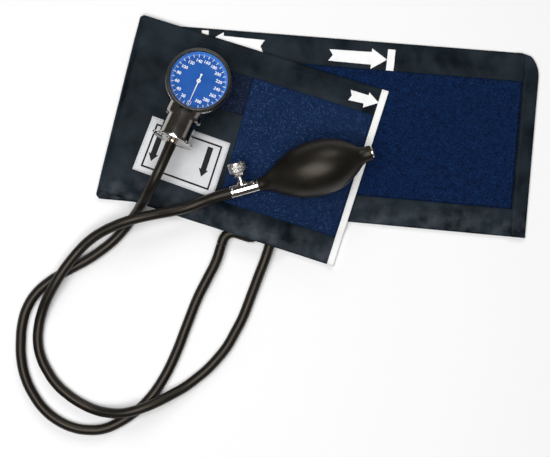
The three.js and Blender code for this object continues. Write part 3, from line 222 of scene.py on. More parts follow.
def hose(name, start, start_axis, route, end, end_axis, sleeves):
    knots = [Vector(start), Vector(start) + Vector(start_axis) * hose_straight]
    knots += [Vector(point) for point in route]
    knots += [Vector(end) + Vector(end_axis) * hose_straight, Vector(end)]
    line = bpy.data.curves.new(name, "CURVE")
    line.dimensions = "3D"
    spline = line.splines.new("BEZIER")
    spline.bezier_points.add(len(knots) - 1)
    for knot, point in zip(spline.bezier_points, knots):
        knot.co = in_frame(point)
        knot.handle_left_type = knot.handle_right_type = "AUTO"
    for index, swell in sleeves.items():
        spline.bezier_points[index].radius = swell
    line.bevel_depth = hose_radius
    line.bevel_resolution = 7
    line.resolution_u = 8
    line.use_fill_caps = True
    line.materials.append(rubber)
    tube = set_down(name, line)
    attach(tube, "cuff")
    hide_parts(name.replace("_tube", ""))
    return tube


gauge_hose_start = (-112.131, -4.197, 36.139)
gauge_stem_axis = (-0.39384, -0.90577, 0.156434)
outlet_axis = (-0.308187, -0.951326, 0)
elbow_face = (-74.977, -82.223, 6.5)
gauge_hose_route = [
    (-119.9, -22, 38.8), (-123.2, -28.6, 38), (-126.5, -35, 35.7), (-131.5, -43.5, 29.6),
    (-136.5, -51, 20), (-140.8, -57, 12.5), (-145.8, -63.3, 7.6), (-152, -70.8, 4.6),
    (-159.5, -78.7, 4.1), (-168.5, -86, 4.1), (-179.5, -93.5, 4.1), (-190.5, -99.5, 4.1),
    (-200.5, -105, 4.1), (-210.5, -111.5, 4.1), (-219.5, -119.5, 4.1), (-226.5, -130, 4.1),
    (-230.5, -142.5, 4.1), (-232, -157.5, 4.1), (-231.5, -172, 4.1), (-228, -187, 4.1),
    (-222, -199.5, 4.1), (-213.5, -211, 4.1), (-203, -219.5, 4.1), (-191, -225, 4.1),
    (-178.5, -227, 4.1), (-167, -226, 4.1), (-156, -221.5, 4.1), (-143.5, -213.5, 4.1),
    (-131.5, -202.5, 4.1), (-120.5, -187, 4.1), (-111, -168, 4.1), (-102, -145, 4.1),
    (-93.5, -123.5, 4.2), (-86.5, -109.5, 5.2),
]
gauge_tube = hose(
    "gauge_hose_tube", gauge_hose_start, gauge_stem_axis, gauge_hose_route, elbow_face, outlet_axis,
    sleeves={0: 1.08, 1: 1.02},
)

bulb_hose_start = (-67.042, -41.655, 21.41)
valve_axis = (-0.950839, -0.267269, -0.156434)
spout_face = (-36.414, -79.999, 6.5)
bulb_hose_route = [
    (-91, -49.2, 17.1), (-101, -53, 16.6), (-111, -55.5, 17.7), (-129, -59, 21.3),
    (-145.5, -63, 22.1), (-159, -68, 19.7), (-169, -73, 17.4), (-177, -78.5, 15.6), (-184, -85, 14),
    (-190.5, -92.5, 13.5), (-197, -101, 13.1), (-203.5, -111, 12.3), (-210, -122.5, 9.6),
    (-215, -134.5, 6.4), (-218, -147, 4.6), (-218.5, -159, 4.1), (-216, -170.5, 4.1),
    (-211, -181, 4.1), (-204.5, -190.5, 4.1), (-195.5, -199, 4.1), (-185, -206, 4.4),
    (-173.5, -211, 5.9), (-162.5, -213, 8.9), (-152, -213, 11.6), (-142.5, -211, 12.9),
    (-133.5, -208, 12.6), (-124, -204, 10.8), (-114, -199, 8.1), (-104, -193.5, 5.7),
    (-95, -187, 4.5), (-86, -179.5, 4.1), (-78, -171, 4.1), (-70.5, -161.5, 4.1), (-64.5, -151, 4.1),
    (-58.5, -139.5, 4.1), (-51.5, -121.5, 4.4), (-45.9, -106.5, 5.4),
]
bulb_tube = hose(
    "bulb_hose_tube", bulb_hose_start, valve_axis, bulb_hose_route, spout_face, outlet_axis,
    sleeves={0: 1.12, 1: 1.08},
)


# The cuff is a long bag of two coated nylon cloths, sewn together round their edges and folded once.
# Its short half lies over the long one and runs down to the right, crowned over the rubber bladder,
# and its end sags past the long half's lower edge onto the table.
cuff_width = 141.6
fold_middle = Vector((-155.3, 29.7))
fold_lean = math.radians(13.97)
front_length, front_angle, front_spread = 198, 17.64, 0.62
tail_length, tail_angle, tail_spread = 326, 4.9, 0.8
tail_slip = 6.2
cloth = 0.8
clearance = 0.3
bladder_thickness = 2.2
bladder_margin = 11
bladder_past_fold = 30
crown_rise = 16
fold_radius_edge, fold_radius_middle = 3, 5.2
front_sag_length = 60
droop_length = 14
droop_floor = 0.8
tail_corner_length, tail_corner_width = 16, 18
panel_margin = 21.5
loop_thickness = 1.5
outlet_height = 6.5
pouch_from, pouch_to, pouch_slope = 91, 158, 11
pouch_flat, pouch_depth = 14, 28
fold_up = Vector((math.sin(fold_lean), math.cos(fold_lean)))
fold_in = Vector((fold_up.y, -fold_up.x))
fold_slack = clearance + bladder_thickness
tail_top = 2 * cloth + clearance
front_rest = tail_top + clearance + loop_thickness + clearance + cloth


def smooth(value, low, high):
    share = min(1, max(0, (value - low) / (high - low)))
    return share * share * (3 - 2 * share)


def mix(low, high, share):
    return low + (high - low) * share


def side_crown(distance):
    return smooth(distance, bladder_margin - crown_rise / 2, bladder_margin + crown_rise / 2)


def fold_radius(t):
    return mix(fold_radius_edge, fold_radius_middle, side_crown(min(t, 1 - t) * cuff_width))


def fold_edge(t):
    return fold_middle + fold_up * (t - 0.5) * cuff_width


def fold_centre(t):
    return fold_edge(t) + fold_in * fold_radius(t)


def half_direction(t, angle, spread):
    turn = -math.radians(angle + (0.5 - t) * spread)
    return Vector((math.cos(turn), math.sin(turn)))


def half_length(t, length, angle):
    lean = math.radians(angle) - fold_lean
    return length + (t - 0.5) * cuff_width * math.sin(lean) - fold_radius(t)


def front_spot(t, share):
    along = half_length(t, front_length, front_angle) * share
    return fold_centre(t) + half_direction(t, front_angle, front_spread) * along


def tail_reach(t):
    return half_length(t, tail_length, tail_angle)


def tail_corner_cut(t):
    into = min(1, max(0, 1 - (1 - t) * cuff_width / tail_corner_width))
    return tail_corner_length * (1 - math.sqrt(1 - into * into))


def tail_spot_at(t, along):
    start = fold_centre(t) - fold_up * tail_slip
    return start + half_direction(t, tail_angle, tail_spread) * along


def tail_spot(t, share):
    trim = tail_corner_cut(t) * max(0, (share - 0.9) / 0.1)
    return tail_spot_at(t, tail_reach(t) * share - trim)


def inside(start, end, spot):
    edge = (end - start).normalized()
    offset = spot - start
    return edge.x * offset.y - edge.y * offset.x


front_low = (front_spot(0, 0), front_spot(0, 1))
front_high = (front_spot(1, 0), front_spot(1, 1))
tail_low = (tail_spot(0, 0), tail_spot_at(0, tail_reach(0)))
tail_high = (tail_spot(1, 0), tail_spot_at(1, tail_reach(1)))


def front_side(spot):
    return min(inside(*front_low, spot), inside(front_high[1], front_high[0], spot))


def tail_side(spot):
    return min(inside(*tail_low, spot), inside(tail_high[1], tail_high[0], spot))


def from_fold(spot):
    return inside(fold_edge(1), fold_edge(0), spot)


def front_bladder(spot):
    end = inside(front_low[1], front_high[1], spot)
    return side_crown(front_side(spot)) * side_crown(end)


def tail_bladder(spot):
    past = from_fold(spot) - bladder_past_fold
    return side_crown(tail_side(spot)) * (1 - smooth(past, -crown_rise / 2, crown_rise / 2))


def slack(full):
    return clearance + fold_slack * full


def front_base(spot):
    radius = mix(fold_radius_edge, fold_radius_middle, side_crown(front_side(spot)))
    start = 2 * radius - cloth - slack(front_bladder(spot))
    beyond = -inside(*tail_low, spot)
    droop = (front_rest - cloth - droop_floor) * smooth(beyond, 0, droop_length)
    return mix(start, front_rest - droop, smooth(from_fold(spot), radius, front_sag_length))


def pouch(spot):
    along = from_fold(spot)
    rise = smooth(along, pouch_from, pouch_from + pouch_slope)
    fall = 1 - smooth(along, pouch_to - pouch_slope, pouch_to)
    return rise * fall * (1 - smooth(inside(*front_low, spot), pouch_flat, pouch_depth))


def front_under_outer(spot):
    level = front_base(spot) + slack(front_bladder(spot))
    lifted = max(level, outlet_height + hose_radius / mm + clearance)
    return mix(level, lifted, pouch(spot))


front_crease, tail_crease = 0.95, 1.25
hook_share = (0.47424, 0.97424)
strap_share = (0.1747, 0.4727)
strap_across = (89.4, 120)


def front_place(spot):
    across = inside(*front_low, spot)
    t = across / cuff_width
    along = (spot - fold_centre(t)).dot(half_direction(t, front_angle, front_spread))
    return along / half_length(t, front_length, front_angle), across


def crumple(spot, seed):
    """Soft creases of the nylon that only rise, in millimetres for a height of one."""
    broad = noise.noise(Vector((spot.x / 19, spot.y / 15, seed)))
    ridge = 1 - abs(noise.noise(Vector((spot.x / 13, spot.y / 21, seed + 3)))) * 3
    fine = noise.noise(Vector((spot.x / 6, spot.y / 6, seed + 7)))
    return max(0, 0.25 + 0.8 * broad + 0.35 * max(0, ridge) + 0.22 * fine)


def front_crumple(spot):
    """The short half's creases, which fade out near the strap, the hook panel and the seams."""
    share, across = front_place(spot)
    along = share * front_length
    under_strap = max(
        strap_share[0] * front_length - along, along - strap_share[1] * front_length,
        strap_across[0] - across, across - strap_across[1],
    )
    under_hooks = max(
        hook_share[0] * front_length - along, panel_margin - across,
        across - cuff_width + panel_margin,
    )
    free = smooth(under_strap, 2, 12) * smooth(under_hooks, 0, 8) * smooth(from_fold(spot), 0, 12)
    free *= smooth(across, 1, 6) * smooth(cuff_width - across, 1, 6)
    return front_crease * free * crumple(spot, 2.0)


def front_top(spot):
    return front_under_outer(spot) + cloth + front_crumple(spot)


def tail_crumple(spot, across, from_end):
    """The long half's creases, which lie only beside its panel and clear of the short half."""
    outside_front = max(-front_side(spot), -inside(front_low[1], front_high[1], spot))
    off_panel = max(panel_margin - across, across - cuff_width + panel_margin)
    free = smooth(outside_front, 1, 9) * smooth(off_panel, 0.5, 7)
    free *= smooth(min(across, cuff_width - across), 0.5, 5) * smooth(from_end, 10, 18)
    return tail_crease * free * crumple(spot, 5.0)


def tail_height(spot, across, from_end):
    return tail_top + fold_slack * tail_bladder(spot) + tail_crumple(spot, across, from_end)


tail_steps, fold_steps, front_steps = 164, 16, 100
strip = [("tail", 1 - i / tail_steps) for i in range(tail_steps + 1)]
strip += [("fold", i / fold_steps) for i in range(1, fold_steps)]
strip += [("front", i / front_steps) for i in range(front_steps + 1)]
across_steps = 72
across_all = [i / across_steps for i in range(across_steps + 1)]


def fold_place(t, share, radius):
    """A point of the fold at that radius. The layers slip along the fold towards the long half."""
    turn = share * math.pi
    centre = fold_centre(t) - fold_up * tail_slip * (1 - share)
    spot = centre - fold_in * radius * math.sin(turn)
    return (*spot, fold_radius(t) - radius * math.cos(turn))


def outer_place(station, t):
    half, share = station
    if half == "tail":
        spot = tail_spot(t, share)
        return (*spot, 0)
    if half == "front":
        spot = front_spot(t, share)
        return (*spot, front_top(spot))
    return fold_place(t, share, fold_radius(t))


def inner_place(station, t):
    half, share = station
    if half == "tail":
        spot = tail_spot(t, share)
        return (*spot, tail_height(spot, t * cuff_width, tail_reach(t) * (1 - share)))
    if half == "front":
        spot = front_spot(t, share)
        return (*spot, front_base(spot) - cloth)
    room = slack(mix(tail_bladder(tail_spot(t, 0)), front_bladder(front_spot(t, 0)), share))
    return fold_place(t, share, fold_radius(t) - 2 * cloth - room)


def sheet_grid(rows, columns, place):
    """One face of a cloth as a grid, laid by place(row, column), with a map in metres."""
    cloth_mesh = bmesh.new()
    spans = (len(rows) - 1, len(columns) - 1)
    bmesh.ops.create_grid(cloth_mesh, x_segments=spans[0], y_segments=spans[1], size=0.5)
    chart = cloth_mesh.loops.layers.uv.new("cloth")
    cells = {}
    for corner in cloth_mesh.verts:
        i = round((corner.co.x + 0.5) * spans[0])
        j = round((corner.co.y + 0.5) * spans[1])
        cells[corner] = (i, j)
    places = [[in_frame(place(row, column)) for column in columns] for row in rows]
    middle = len(columns) // 2
    runs = [0.0]
    for here, there in zip(places, places[1:]):
        runs.append(runs[-1] + (there[middle] - here[middle]).length)
    widths = [0.0]
    for here, there in zip(places[0], places[0][1:]):
        widths.append(widths[-1] + (there - here).length)
    for corner, (i, j) in cells.items():
        corner.co = places[i][j]
        for loop in corner.link_loops:
            loop[chart].uv = (runs[i], widths[j])
    return cloth_mesh


def sewn_piece(name, rows, columns, place, thickness, material, covers, flip=False):
    """A cloth of that thickness under its laid face."""
    face = sheet_grid(rows, columns, place)
    if flip:
        bmesh.ops.reverse_faces(face, faces=face.faces)
    piece = smooth_piece(name, face, material)
    wall = piece.modifiers.new("thickness", "SOLIDIFY")
    wall.thickness = thickness * mm
    wall.offset = -1
    wall.use_even_offset = True
    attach(piece, "cuff")
    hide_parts(*covers)
    return piece


def reckoned(tree, operation, *numbers):
    """The outcome of a sum over outputs and plain numbers."""
    return finish_node(tree, "ShaderNodeMath", enumerate(numbers), operation=operation).outputs[0]


def weave_group():
    """A plain weave: two sets of threads that pass over and under each other."""
    group, entry, leave = new_group("plain_weave", ("Threads per Metre",), ("Height",))
    counted = finish_node(group, "ShaderNodeVectorMath", {
        0: entry.outputs["Vector"], "Scale": entry.outputs["Threads per Metre"],
    }, operation="SCALE")
    axes = finish_node(group, "ShaderNodeSeparateXYZ", {0: counted.outputs[0]})
    waves = [
        reckoned(group, "SINE", reckoned(group, "MULTIPLY", axes.outputs[axis], math.pi))
        for axis in ("X", "Y")
    ]
    lifted = reckoned(group, "MULTIPLY_ADD", reckoned(group, "MULTIPLY", *waves), 0.5, 0.5)
    group.links.new(lifted, leave.inputs["Height"])
    return group


plain_weave = weave_group()


def cloth_map(tree):
    return finish_node(tree, "ShaderNodeUVMap", uv_map="cloth").outputs["UV"]


def woven(material, threads, depth):
    """A weave along the piece's own map, over the bump of the cloth's creases."""
    tree = material.node_tree
    weave = finish_node(tree, "ShaderNodeGroup", {
        "Vector": cloth_map(tree), "Threads per Metre": threads,
    }, node_tree=plain_weave)
    bumped(material, weave.outputs["Height"], depth)


def tipped(material, share, tip):
    """Blends a finish's colour towards a second colour by a share of the surface: the tips of a pile, a
    painted sheen or a painted highlight.
    """
    tree, base = material.node_tree, shader_of(material).inputs["Base Color"]
    blend = finish_node(tree, "ShaderNodeMix", {
        "Factor": share, "A": base.links[0].from_socket, "B": (*tip, 1),
    }, data_type="RGBA")
    tree.links.new(blend.outputs["Result"], base)


def coated_nylon():
    """Dark cloth, mottled in slow patches whose pale end is painted sheen, and paler again in a painted
    sheen on the pucker crests along the lower margin.
    """
    # The slow colour patches mix the cloth's own uneven tone with painted sheen: their paler end is
    # painted sheen on the creases.
    material = grained(
        "coated_nylon", (0.0024, 0.0058, 0.009), (0.0155, 0.0235, 0.031), 9, 26, 0.5, (0.4, 0.52),
        specular=0.05,
    )
    woven(material, 3200, 0.02)
    tree = material.node_tree
    chart = cloth_map(tree)
    across = finish_node(tree, "ShaderNodeSeparateXYZ", {0: chart}).outputs["Y"]
    # Painted sheen: the pucker crests within 24 mm of the lower edge are blended towards a pale
    # blue-grey.
    margin = stretched(tree, across, 24 * mm, 8 * mm)
    puckers = finish_node(tree, "ShaderNodeTexNoise", {
        "Vector": chart, "Scale": 1 / (13 * mm), "Detail": 3,
    })
    sheen_crests = stretched(tree, puckers.outputs["Fac"], 0.42, 0.7)
    tipped(material, reckoned(tree, "MULTIPLY", margin, sheen_crests), (0.044, 0.053, 0.066))
    return material


nylon = coated_nylon()
outer_cloth = sewn_piece(
    "outer_nylon", strip, across_all, outer_place, cloth, nylon, ["cuff_outer_cloth"],
)
inner_cloth = sewn_piece(
    "inner_nylon", strip, across_all, inner_place, cloth, nylon, ["cuff_inner_cloth"],
    flip=True,
)


# The bladder is a flat bag of thin grey rubber between the cloths, with rounded welded edges.
# It reaches round the fold and a little way into the long half.
bladder_end = 1 - bladder_margin / front_length
bladder_skin = 0.5
bladder_tail = 0.07607
bladder_rows = [("tail", bladder_tail * (1 - i / 12)) for i in range(13)]
bladder_rows += [("fold", i / fold_steps) for i in range(1, fold_steps)]
bladder_rows += [("front", bladder_end * i / 60) for i in range(61)]
bladder_edge = bladder_margin / cuff_width
bladder_columns = [mix(bladder_edge, 1 - bladder_edge, i / 40) for i in range(41)]


def bladder_place(station, t):
    half, share = station
    if half == "tail":
        spot = tail_spot(t, share)
        return (*spot, cloth + clearance)
    if half == "front":
        spot = front_spot(t, share)
        return (*spot, front_base(spot) + slack(front_bladder(spot)) - clearance)
    return fold_place(t, share, fold_radius(t) - cloth - clearance)


grey_rubber = grained(
    "grey_rubber", (0.034, 0.034, 0.036), (0.052, 0.052, 0.054), 0.6, 20, 0.04, (0.5, 0.65),
)
sewn_piece(
    "rubber_bladder", bladder_rows, bladder_columns, bladder_place, bladder_skin, grey_rubber,
    ["bladder"],
)


# The loop half of the closure is a deep blue, velvety knit sewn on the inner face of the long half.
# Its pile lies in soft patches, and its edges are bound down with a line of stitches.
hem_width = 11
loop_length = 250
panel_width = cuff_width - 2 * panel_margin
loop_rows = [hem_width + clearance + loop_length * i / 125 for i in range(126)]
loop_columns = [mix(panel_margin, cuff_width - panel_margin, i / 50) / cuff_width for i in range(51)]
loop_face = tail_top + clearance + loop_thickness
pile_height, pile_edge_drop, pile_fuzz = 0.75, 0.7, 0.12


def pile_edge(across, from_end):
    near = min(across - panel_margin, cuff_width - panel_margin - across)
    near = min(near, from_end - hem_width, hem_width + loop_length - from_end)
    return pile_edge_drop * (1 - smooth(near, -0.5, 2))


def loop_place(from_end, t):
    spot = tail_spot_at(t, tail_reach(t) - from_end)
    fuzz = pile_fuzz * noise.noise(Vector((spot.x / 1.7, spot.y / 1.7, 1)))
    return (*spot, loop_face + fuzz - pile_edge(t * cuff_width, from_end))


def pile_fabric(name, dark, light, tip, speck_size, speck_share, depth):
    """A fabric of upright loops or hooks: dark between them, with a light tip here and there."""
    material = plain_finish(name, roughness=0.85, specular=0.08)
    tree = material.node_tree
    chart = cloth_map(tree)
    patches = finish_node(tree, "ShaderNodeTexNoise", {
        "Vector": chart, "Scale": 1 / (5 * mm), "Detail": 6, "Roughness": 0.7,
    })
    coloured(material, patches.outputs["Fac"], 0.36, dark, 0.66, light)
    specks = finish_node(tree, "ShaderNodeTexVoronoi", {
        "Vector": chart, "Scale": 1 / (speck_size * mm),
    })
    tips = stretched(tree, specks.outputs["Distance"], speck_share, speck_share * 0.4)
    chance = finish_node(tree, "ShaderNodeSeparateColor", {0: specks.outputs["Color"]})
    tipped(material, reckoned(tree, "MULTIPLY", tips, chance.outputs["Red"]), tip)
    bumped(material, specks.outputs["Distance"], depth, invert=True)
    return material


loop_knit = pile_fabric(
    "loop_knit", (0.001, 0.0052, 0.025), (0.0028, 0.0142, 0.06), (0.011, 0.05, 0.17), 0.8, 0.5, 0.5,
)
loop_pad = sewn_piece(
    "loop_fabric_panel", loop_rows, loop_columns, loop_place, loop_thickness - pile_height,
    loop_knit, ["loop_panel"], flip=True,
)


# The hook half is a stiffer blue tape of nylon hooks, sewn on the outer face of the short half.
# The hooks are cut loops of thick yarn, woven in close rows, and the tops of some carry a painted
# highlight of pale blue, one by one.
hook_ground, hook_rise = 0.65, 0.55
hook_rows = [mix(hook_share[0], hook_share[1], i / 60) for i in range(61)]


def hook_place(share, t):
    spot = front_spot(t, share)
    return (*spot, front_top(spot) + clearance + hook_ground)


hook_tape = pile_fabric(
    "hook_tape", (0.003, 0.0125, 0.045), (0.0065, 0.022, 0.075), (0.03, 0.08, 0.22), 0.7, 0.4, 0.3,
)
hook_pad = sewn_piece(
    "hook_fabric_panel", hook_rows, loop_columns, hook_place, hook_ground, hook_tape,
    ["hook_panel"],
)


def hook_yarn():
    """Dark blue yarn, with a painted highlight of pale blue on top of the hooks whose glint attribute
    is high.
    """
    material = grained(
        "hook_yarn", (0.0022, 0.009, 0.036), (0.005, 0.018, 0.064), 0.3, 1.7, 0.01, (0.26, 0.42),
        specular=0.4,
    )
    tree = material.node_tree
    glint = finish_node(tree, "ShaderNodeAttribute", attribute_name="glint").outputs["Fac"]
    # Painted highlight: the hook tops are blended towards pale blue by their glint.
    tipped(material, stretched(tree, glint, 0.3, 0.86), (0.27, 0.42, 0.82))
    return material


def standing_hooks(name, material, row_pitch, hook_pitch):
    """Rows of small bent hooks over the tape, each one leaning a little its own way."""
    edge, bend, yarn, sink, bent_through = 1.2, 0.3, 0.14, 0.05, math.radians(150)
    most_lean, least_height, more_height = 1.4, 0.8, 0.25
    count = int((panel_width - 2 * edge) / hook_pitch)
    one_row = bmesh.new()
    for j in range(count):
        foot = Matrix.Translation((bend, j * hook_pitch, 0))
        bmesh.ops.create_circle(one_row, segments=3, radius=yarn, matrix=foot)
    bmesh.ops.spin(
        one_row, geom=one_row.verts[:] + one_row.edges[:], cent=(0, 0, 0), axis=(0, 1, 0),
        dvec=(0, 0, 0), angle=-bent_through, steps=3,
    )
    open_ends = [seam for seam in one_row.edges if seam.is_boundary]
    bmesh.ops.holes_fill(one_row, edges=open_ends, sides=3)
    bmesh.ops.recalc_face_normals(one_row, faces=one_row.faces)
    pattern = [corner.co.copy() for corner in one_row.verts]
    length = (hook_share[1] - hook_share[0]) * front_length - 2 * edge
    every_row = bmesh.new()
    row_mesh = bpy.data.meshes.new("hook_row")
    glints = []
    for i in range(int(length / row_pitch)):
        share = hook_share[0] + (edge + (i + 0.5) * row_pitch) / front_length
        stagger = 0.5 * hook_pitch * (i % 2)
        feet = []
        for j in range(count):
            t = (panel_margin + edge + stagger + j * hook_pitch) / cuff_width
            lean = noise.cell(Vector((i, j, 3))) * most_lean
            forward = half_direction(t, front_angle, front_spread)
            forward = Matrix.Rotation(lean, 2) @ forward
            high = least_height + more_height * noise.cell(Vector((j, i, 8)))
            feet.append((Vector(hook_place(share, t)), forward, high))
        for corner, flat in zip(one_row.verts, pattern):
            j = round(flat.y / hook_pitch)
            foot, forward, high = feet[j]
            aside = Vector((-forward.y, forward.x))
            spot = foot.xy + forward * flat.x + aside * (flat.y - j * hook_pitch)
            rise = flat.z / bend * (hook_rise - yarn) * high - sink
            corner.co = in_frame((*spot, foot.z + rise))
        one_row.to_mesh(row_mesh)
        every_row.from_mesh(row_mesh)
        # Each hook's painted highlight has a random strength and is full only at its top.
        for flat in pattern:
            hook = Vector((i, round(flat.y / hook_pitch), 21))
            glints.append(noise.cell(hook) * min(1, max(0, flat.z / bend)))
    one_row.free()
    bpy.data.meshes.remove(row_mesh)
    hooks = smooth_piece(name, every_row, material)
    hooks.data.attributes.new("glint", "FLOAT", "POINT").data.foreach_set("value", glints)
    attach(hooks, "cuff")


standing_hooks("nylon_hooks", hook_yarn(), 1.3, 1.35)


# The hem is a strip of the same nylon folded over the end of the long half and sewn down.
# It keeps the rounded upper corner, and its two edges meet the table.
hem_thickness = 0.8
hem_pucker = 0.18
edge_drop = 0.25
corner_inset, steepest = 1.5, 2.2
hem_rows = [0, 0.25, 0.5, 0.75, 0.9, 1, 2]


def corner_steepness(t):
    step = 0.02
    high, low = min(t + step, 1), max(t - step, 0)
    return (tail_corner_cut(high) - tail_corner_cut(low)) / ((high - low) * cuff_width)


def hem_place(row, t):
    inner = max(hem_width, tail_corner_cut(t) + corner_inset)
    reach = math.hypot(1, min(corner_steepness(t), steepest))
    outer = tail_corner_cut(t) - (clearance + hem_thickness) * reach
    height = tail_top + clearance + hem_thickness
    from_end = mix(inner, outer, min(row, 1))
    spot = tail_spot_at(t, tail_reach(t) - from_end)
    pucker = noise.noise(Vector((spot.x / 5, spot.y / 7, 4))) * math.sin(math.pi * min(row, 1))
    if row > 1:
        height = 0
    elif row > 0.95:
        height -= edge_drop
    return (*spot, height + hem_pucker * pucker)


sewn_piece(
    "nylon_hem", hem_rows, across_all, hem_place, hem_thickness, nylon, ["tail_hem"],
)


# The white index tape binds the end of the short half, and its straight edge is the index line.
# It is a smooth woven tape, folded over the raw edge and sewn through.
tape_width = 4.5
tape_thickness = 0.6
tape_rows = [0, 0.25, 0.5, 0.75, 0.92, 1, 2]


def tape_place(row, t):
    start = 1 - tape_width / front_length
    finish = 1 + (clearance + tape_thickness) / front_length
    spot = front_spot(t, mix(start, finish, min(row, 1)))
    end_spot = front_spot(t, 1)
    if row > 1:
        return (*spot, front_base(end_spot) - cloth)
    drop = edge_drop if row > 0.95 else 0
    return (*spot, front_top(spot if row < 0.9 else end_spot) + clearance + tape_thickness - drop)


white_tape = grained(
    "white_tape", (0.86, 0.86, 0.86), (0.92, 0.92, 0.925), 1.2, 12, 0.08, (0.6, 0.75),
)
woven(white_tape, 2400, 0.05)
sewn_piece(
    "white_index_binding", tape_rows, across_all, tape_place, tape_thickness, white_tape,
    ["index_tape"],
)


# Lines of lock stitches hold the hem, the tape and both panels down.
# Each stitch is a short strand of thread that dips into the cloth at its two ends.
thread_radius = 0.16
stitch_lift = 0.05
seam_inset, edge_seam_inset = 2.2, 6.5
hem_seam_row, corner_seam_row, tape_seam_row = 0.16, 0.3, 0.22


def dyed_thread(name, colour):
    lighter = tuple(min(1, channel * 1.5) for channel in colour)
    return grained(name, colour, lighter, 0.3, 3, 0.02, (0.55, 0.7))


navy_thread = dyed_thread("navy_thread", (0.004, 0.006, 0.013))


def stitches(name, paths, thread, pitch=3.1, share=0.74):
    """Strands along each path of layout points, with a gap after each."""
    seam = bmesh.new()
    for path in paths:
        points = [Vector(point) for point in path]
        travelled, next_start = 0, pitch * 0.3
        for here, there in zip(points, points[1:]):
            run = (there - here).length
            while next_start + pitch * share <= travelled + run:
                begin = (next_start - travelled) / run
                finish = (next_start + pitch * share - travelled) / run
                first, last = here.lerp(there, max(0, begin)), here.lerp(there, finish)
                along = last - first
                turn = along.to_track_quat("X", "Z").to_matrix().to_4x4()
                size = Matrix.Diagonal((along.length / 2, thread_radius, thread_radius, 1))
                place = Matrix.Translation(in_frame((first + last) / 2)) @ turn
                shape = Matrix.Scale(mm, 4) @ size
                bmesh.ops.create_icosphere(seam, subdivisions=1, radius=1, matrix=place @ shape)
                next_start += pitch
            travelled += run
    strands = smooth_piece(name, seam, thread)
    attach(strands, "cuff")


def seam_path(place, steps, start, end, lift=0.0):
    """Points along a piece, from the pair of values start to the pair of values end."""
    path = []
    for i in range(steps + 1):
        pair = (mix(start[0], end[0], i / steps), mix(start[1], end[1], i / steps))
        path.append(Vector(place(*pair)) + Vector((0, 0, lift)))
    return path


def hem_seam_place(row, t):
    return hem_place(row if t < 0.9 else corner_seam_row, t)


def front_edge_place(share, t):
    spot = front_spot(t, share)
    return (*spot, front_top(spot))


hem_seam = seam_path(hem_seam_place, 24, (hem_seam_row, 0), (hem_seam_row, 1), stitch_lift)
tape_seam = seam_path(tape_place, 24, (tape_seam_row, 0), (tape_seam_row, 1), stitch_lift)
low_share = loop_columns[0] + seam_inset / cuff_width
high_share = loop_columns[-1] - seam_inset / cuff_width
loop_near = hem_width + clearance + seam_inset
loop_far = hem_width + clearance + loop_length - seam_inset
hook_seam_share = 0.01
hook_near, hook_far = hook_share[0] + hook_seam_share, hook_share[1] - hook_seam_share
panel_seams = [
    seam_path(loop_place, 40, (loop_near, low_share), (loop_far, low_share)),
    seam_path(loop_place, 40, (loop_near, high_share), (loop_far, high_share)),
    seam_path(loop_place, 16, (loop_near, low_share), (loop_near, high_share)),
    seam_path(hook_place, 16, (hook_near, low_share), (hook_far, low_share)),
    seam_path(hook_place, 16, (hook_near, high_share), (hook_far, high_share)),
    seam_path(hook_place, 16, (hook_near, low_share), (hook_near, high_share)),
    seam_path(hook_place, 16, (hook_far, low_share), (hook_far, high_share)),
]
edge_seams = [
    seam_path(front_edge_place, 60, (0.03, t), (0.97, t), stitch_lift)
    for t in (edge_seam_inset / cuff_width, 1 - edge_seam_inset / cuff_width)
]
stitches("hem_stitches", [hem_seam], navy_thread)
stitches("edge_stitches", edge_seams, dyed_thread("slate_thread", (0.012, 0.018, 0.024)))
stitches("panel_stitches", panel_seams, navy_thread)
stitches("tape_stitches", [tape_seam], dyed_thread("white_thread", (0.6, 0.6, 0.59)), pitch=2.8)


# Range bars and arrows are printed in white on the long half's upper margin, and one arrow on the
# short half points to its index edge. The ink lies thinly on the nylon and follows its creases.
ink_lift, ink_thickness = 0.12, 0.05
over_the_cuff = 60


def surface_of(piece):
    mesh = piece.data
    return BVHTree.FromPolygons(
        [corner.co.copy() for corner in mesh.vertices], [face.vertices[:] for face in mesh.polygons],
    )


def printed_on(name, cloth_surface, outlines, ink, cell=1.0):
    """Flat shapes cut small, then laid on the cloth below them."""
    sheet = bmesh.new()
    for outline in outlines:
        corners = [sheet.verts.new((*point, 0)) for point in outline]
        sheet.faces.new(corners)
    bmesh.ops.recalc_face_normals(sheet, faces=sheet.faces)
    for face in sheet.faces:
        if face.normal.z < 0:
            face.normal_flip()
    extents = [[point[axis] for outline in outlines for point in outline] for axis in (0, 1)]
    for values, normal in zip(extents, (Vector((1, 0, 0)), Vector((0, 1, 0)))):
        cut = min(values) + cell / 2
        while cut < max(values):
            everything = sheet.verts[:] + sheet.edges[:] + sheet.faces[:]
            bmesh.ops.bisect_plane(sheet, geom=everything, plane_co=normal * cut, plane_no=normal)
            cut += cell
    for corner in sheet.verts:
        above = in_frame((corner.co.x, corner.co.y, over_the_cuff))
        struck = cloth_surface.ray_cast(above, Vector((0, 0, -1)))[0]
        corner.co = struck + Vector((0, 0, ink_lift * mm))
    print_piece = smooth_piece(name, sheet, ink)
    film = print_piece.modifiers.new("film", "SOLIDIFY")
    film.thickness = ink_thickness * mm
    film.offset = -1
    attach(print_piece, "cuff")


def printing_ink(name, dark, light):
    return grained(name, dark, light, 0.5, 6, 0.015, (0.5, 0.65), specular=0.12)


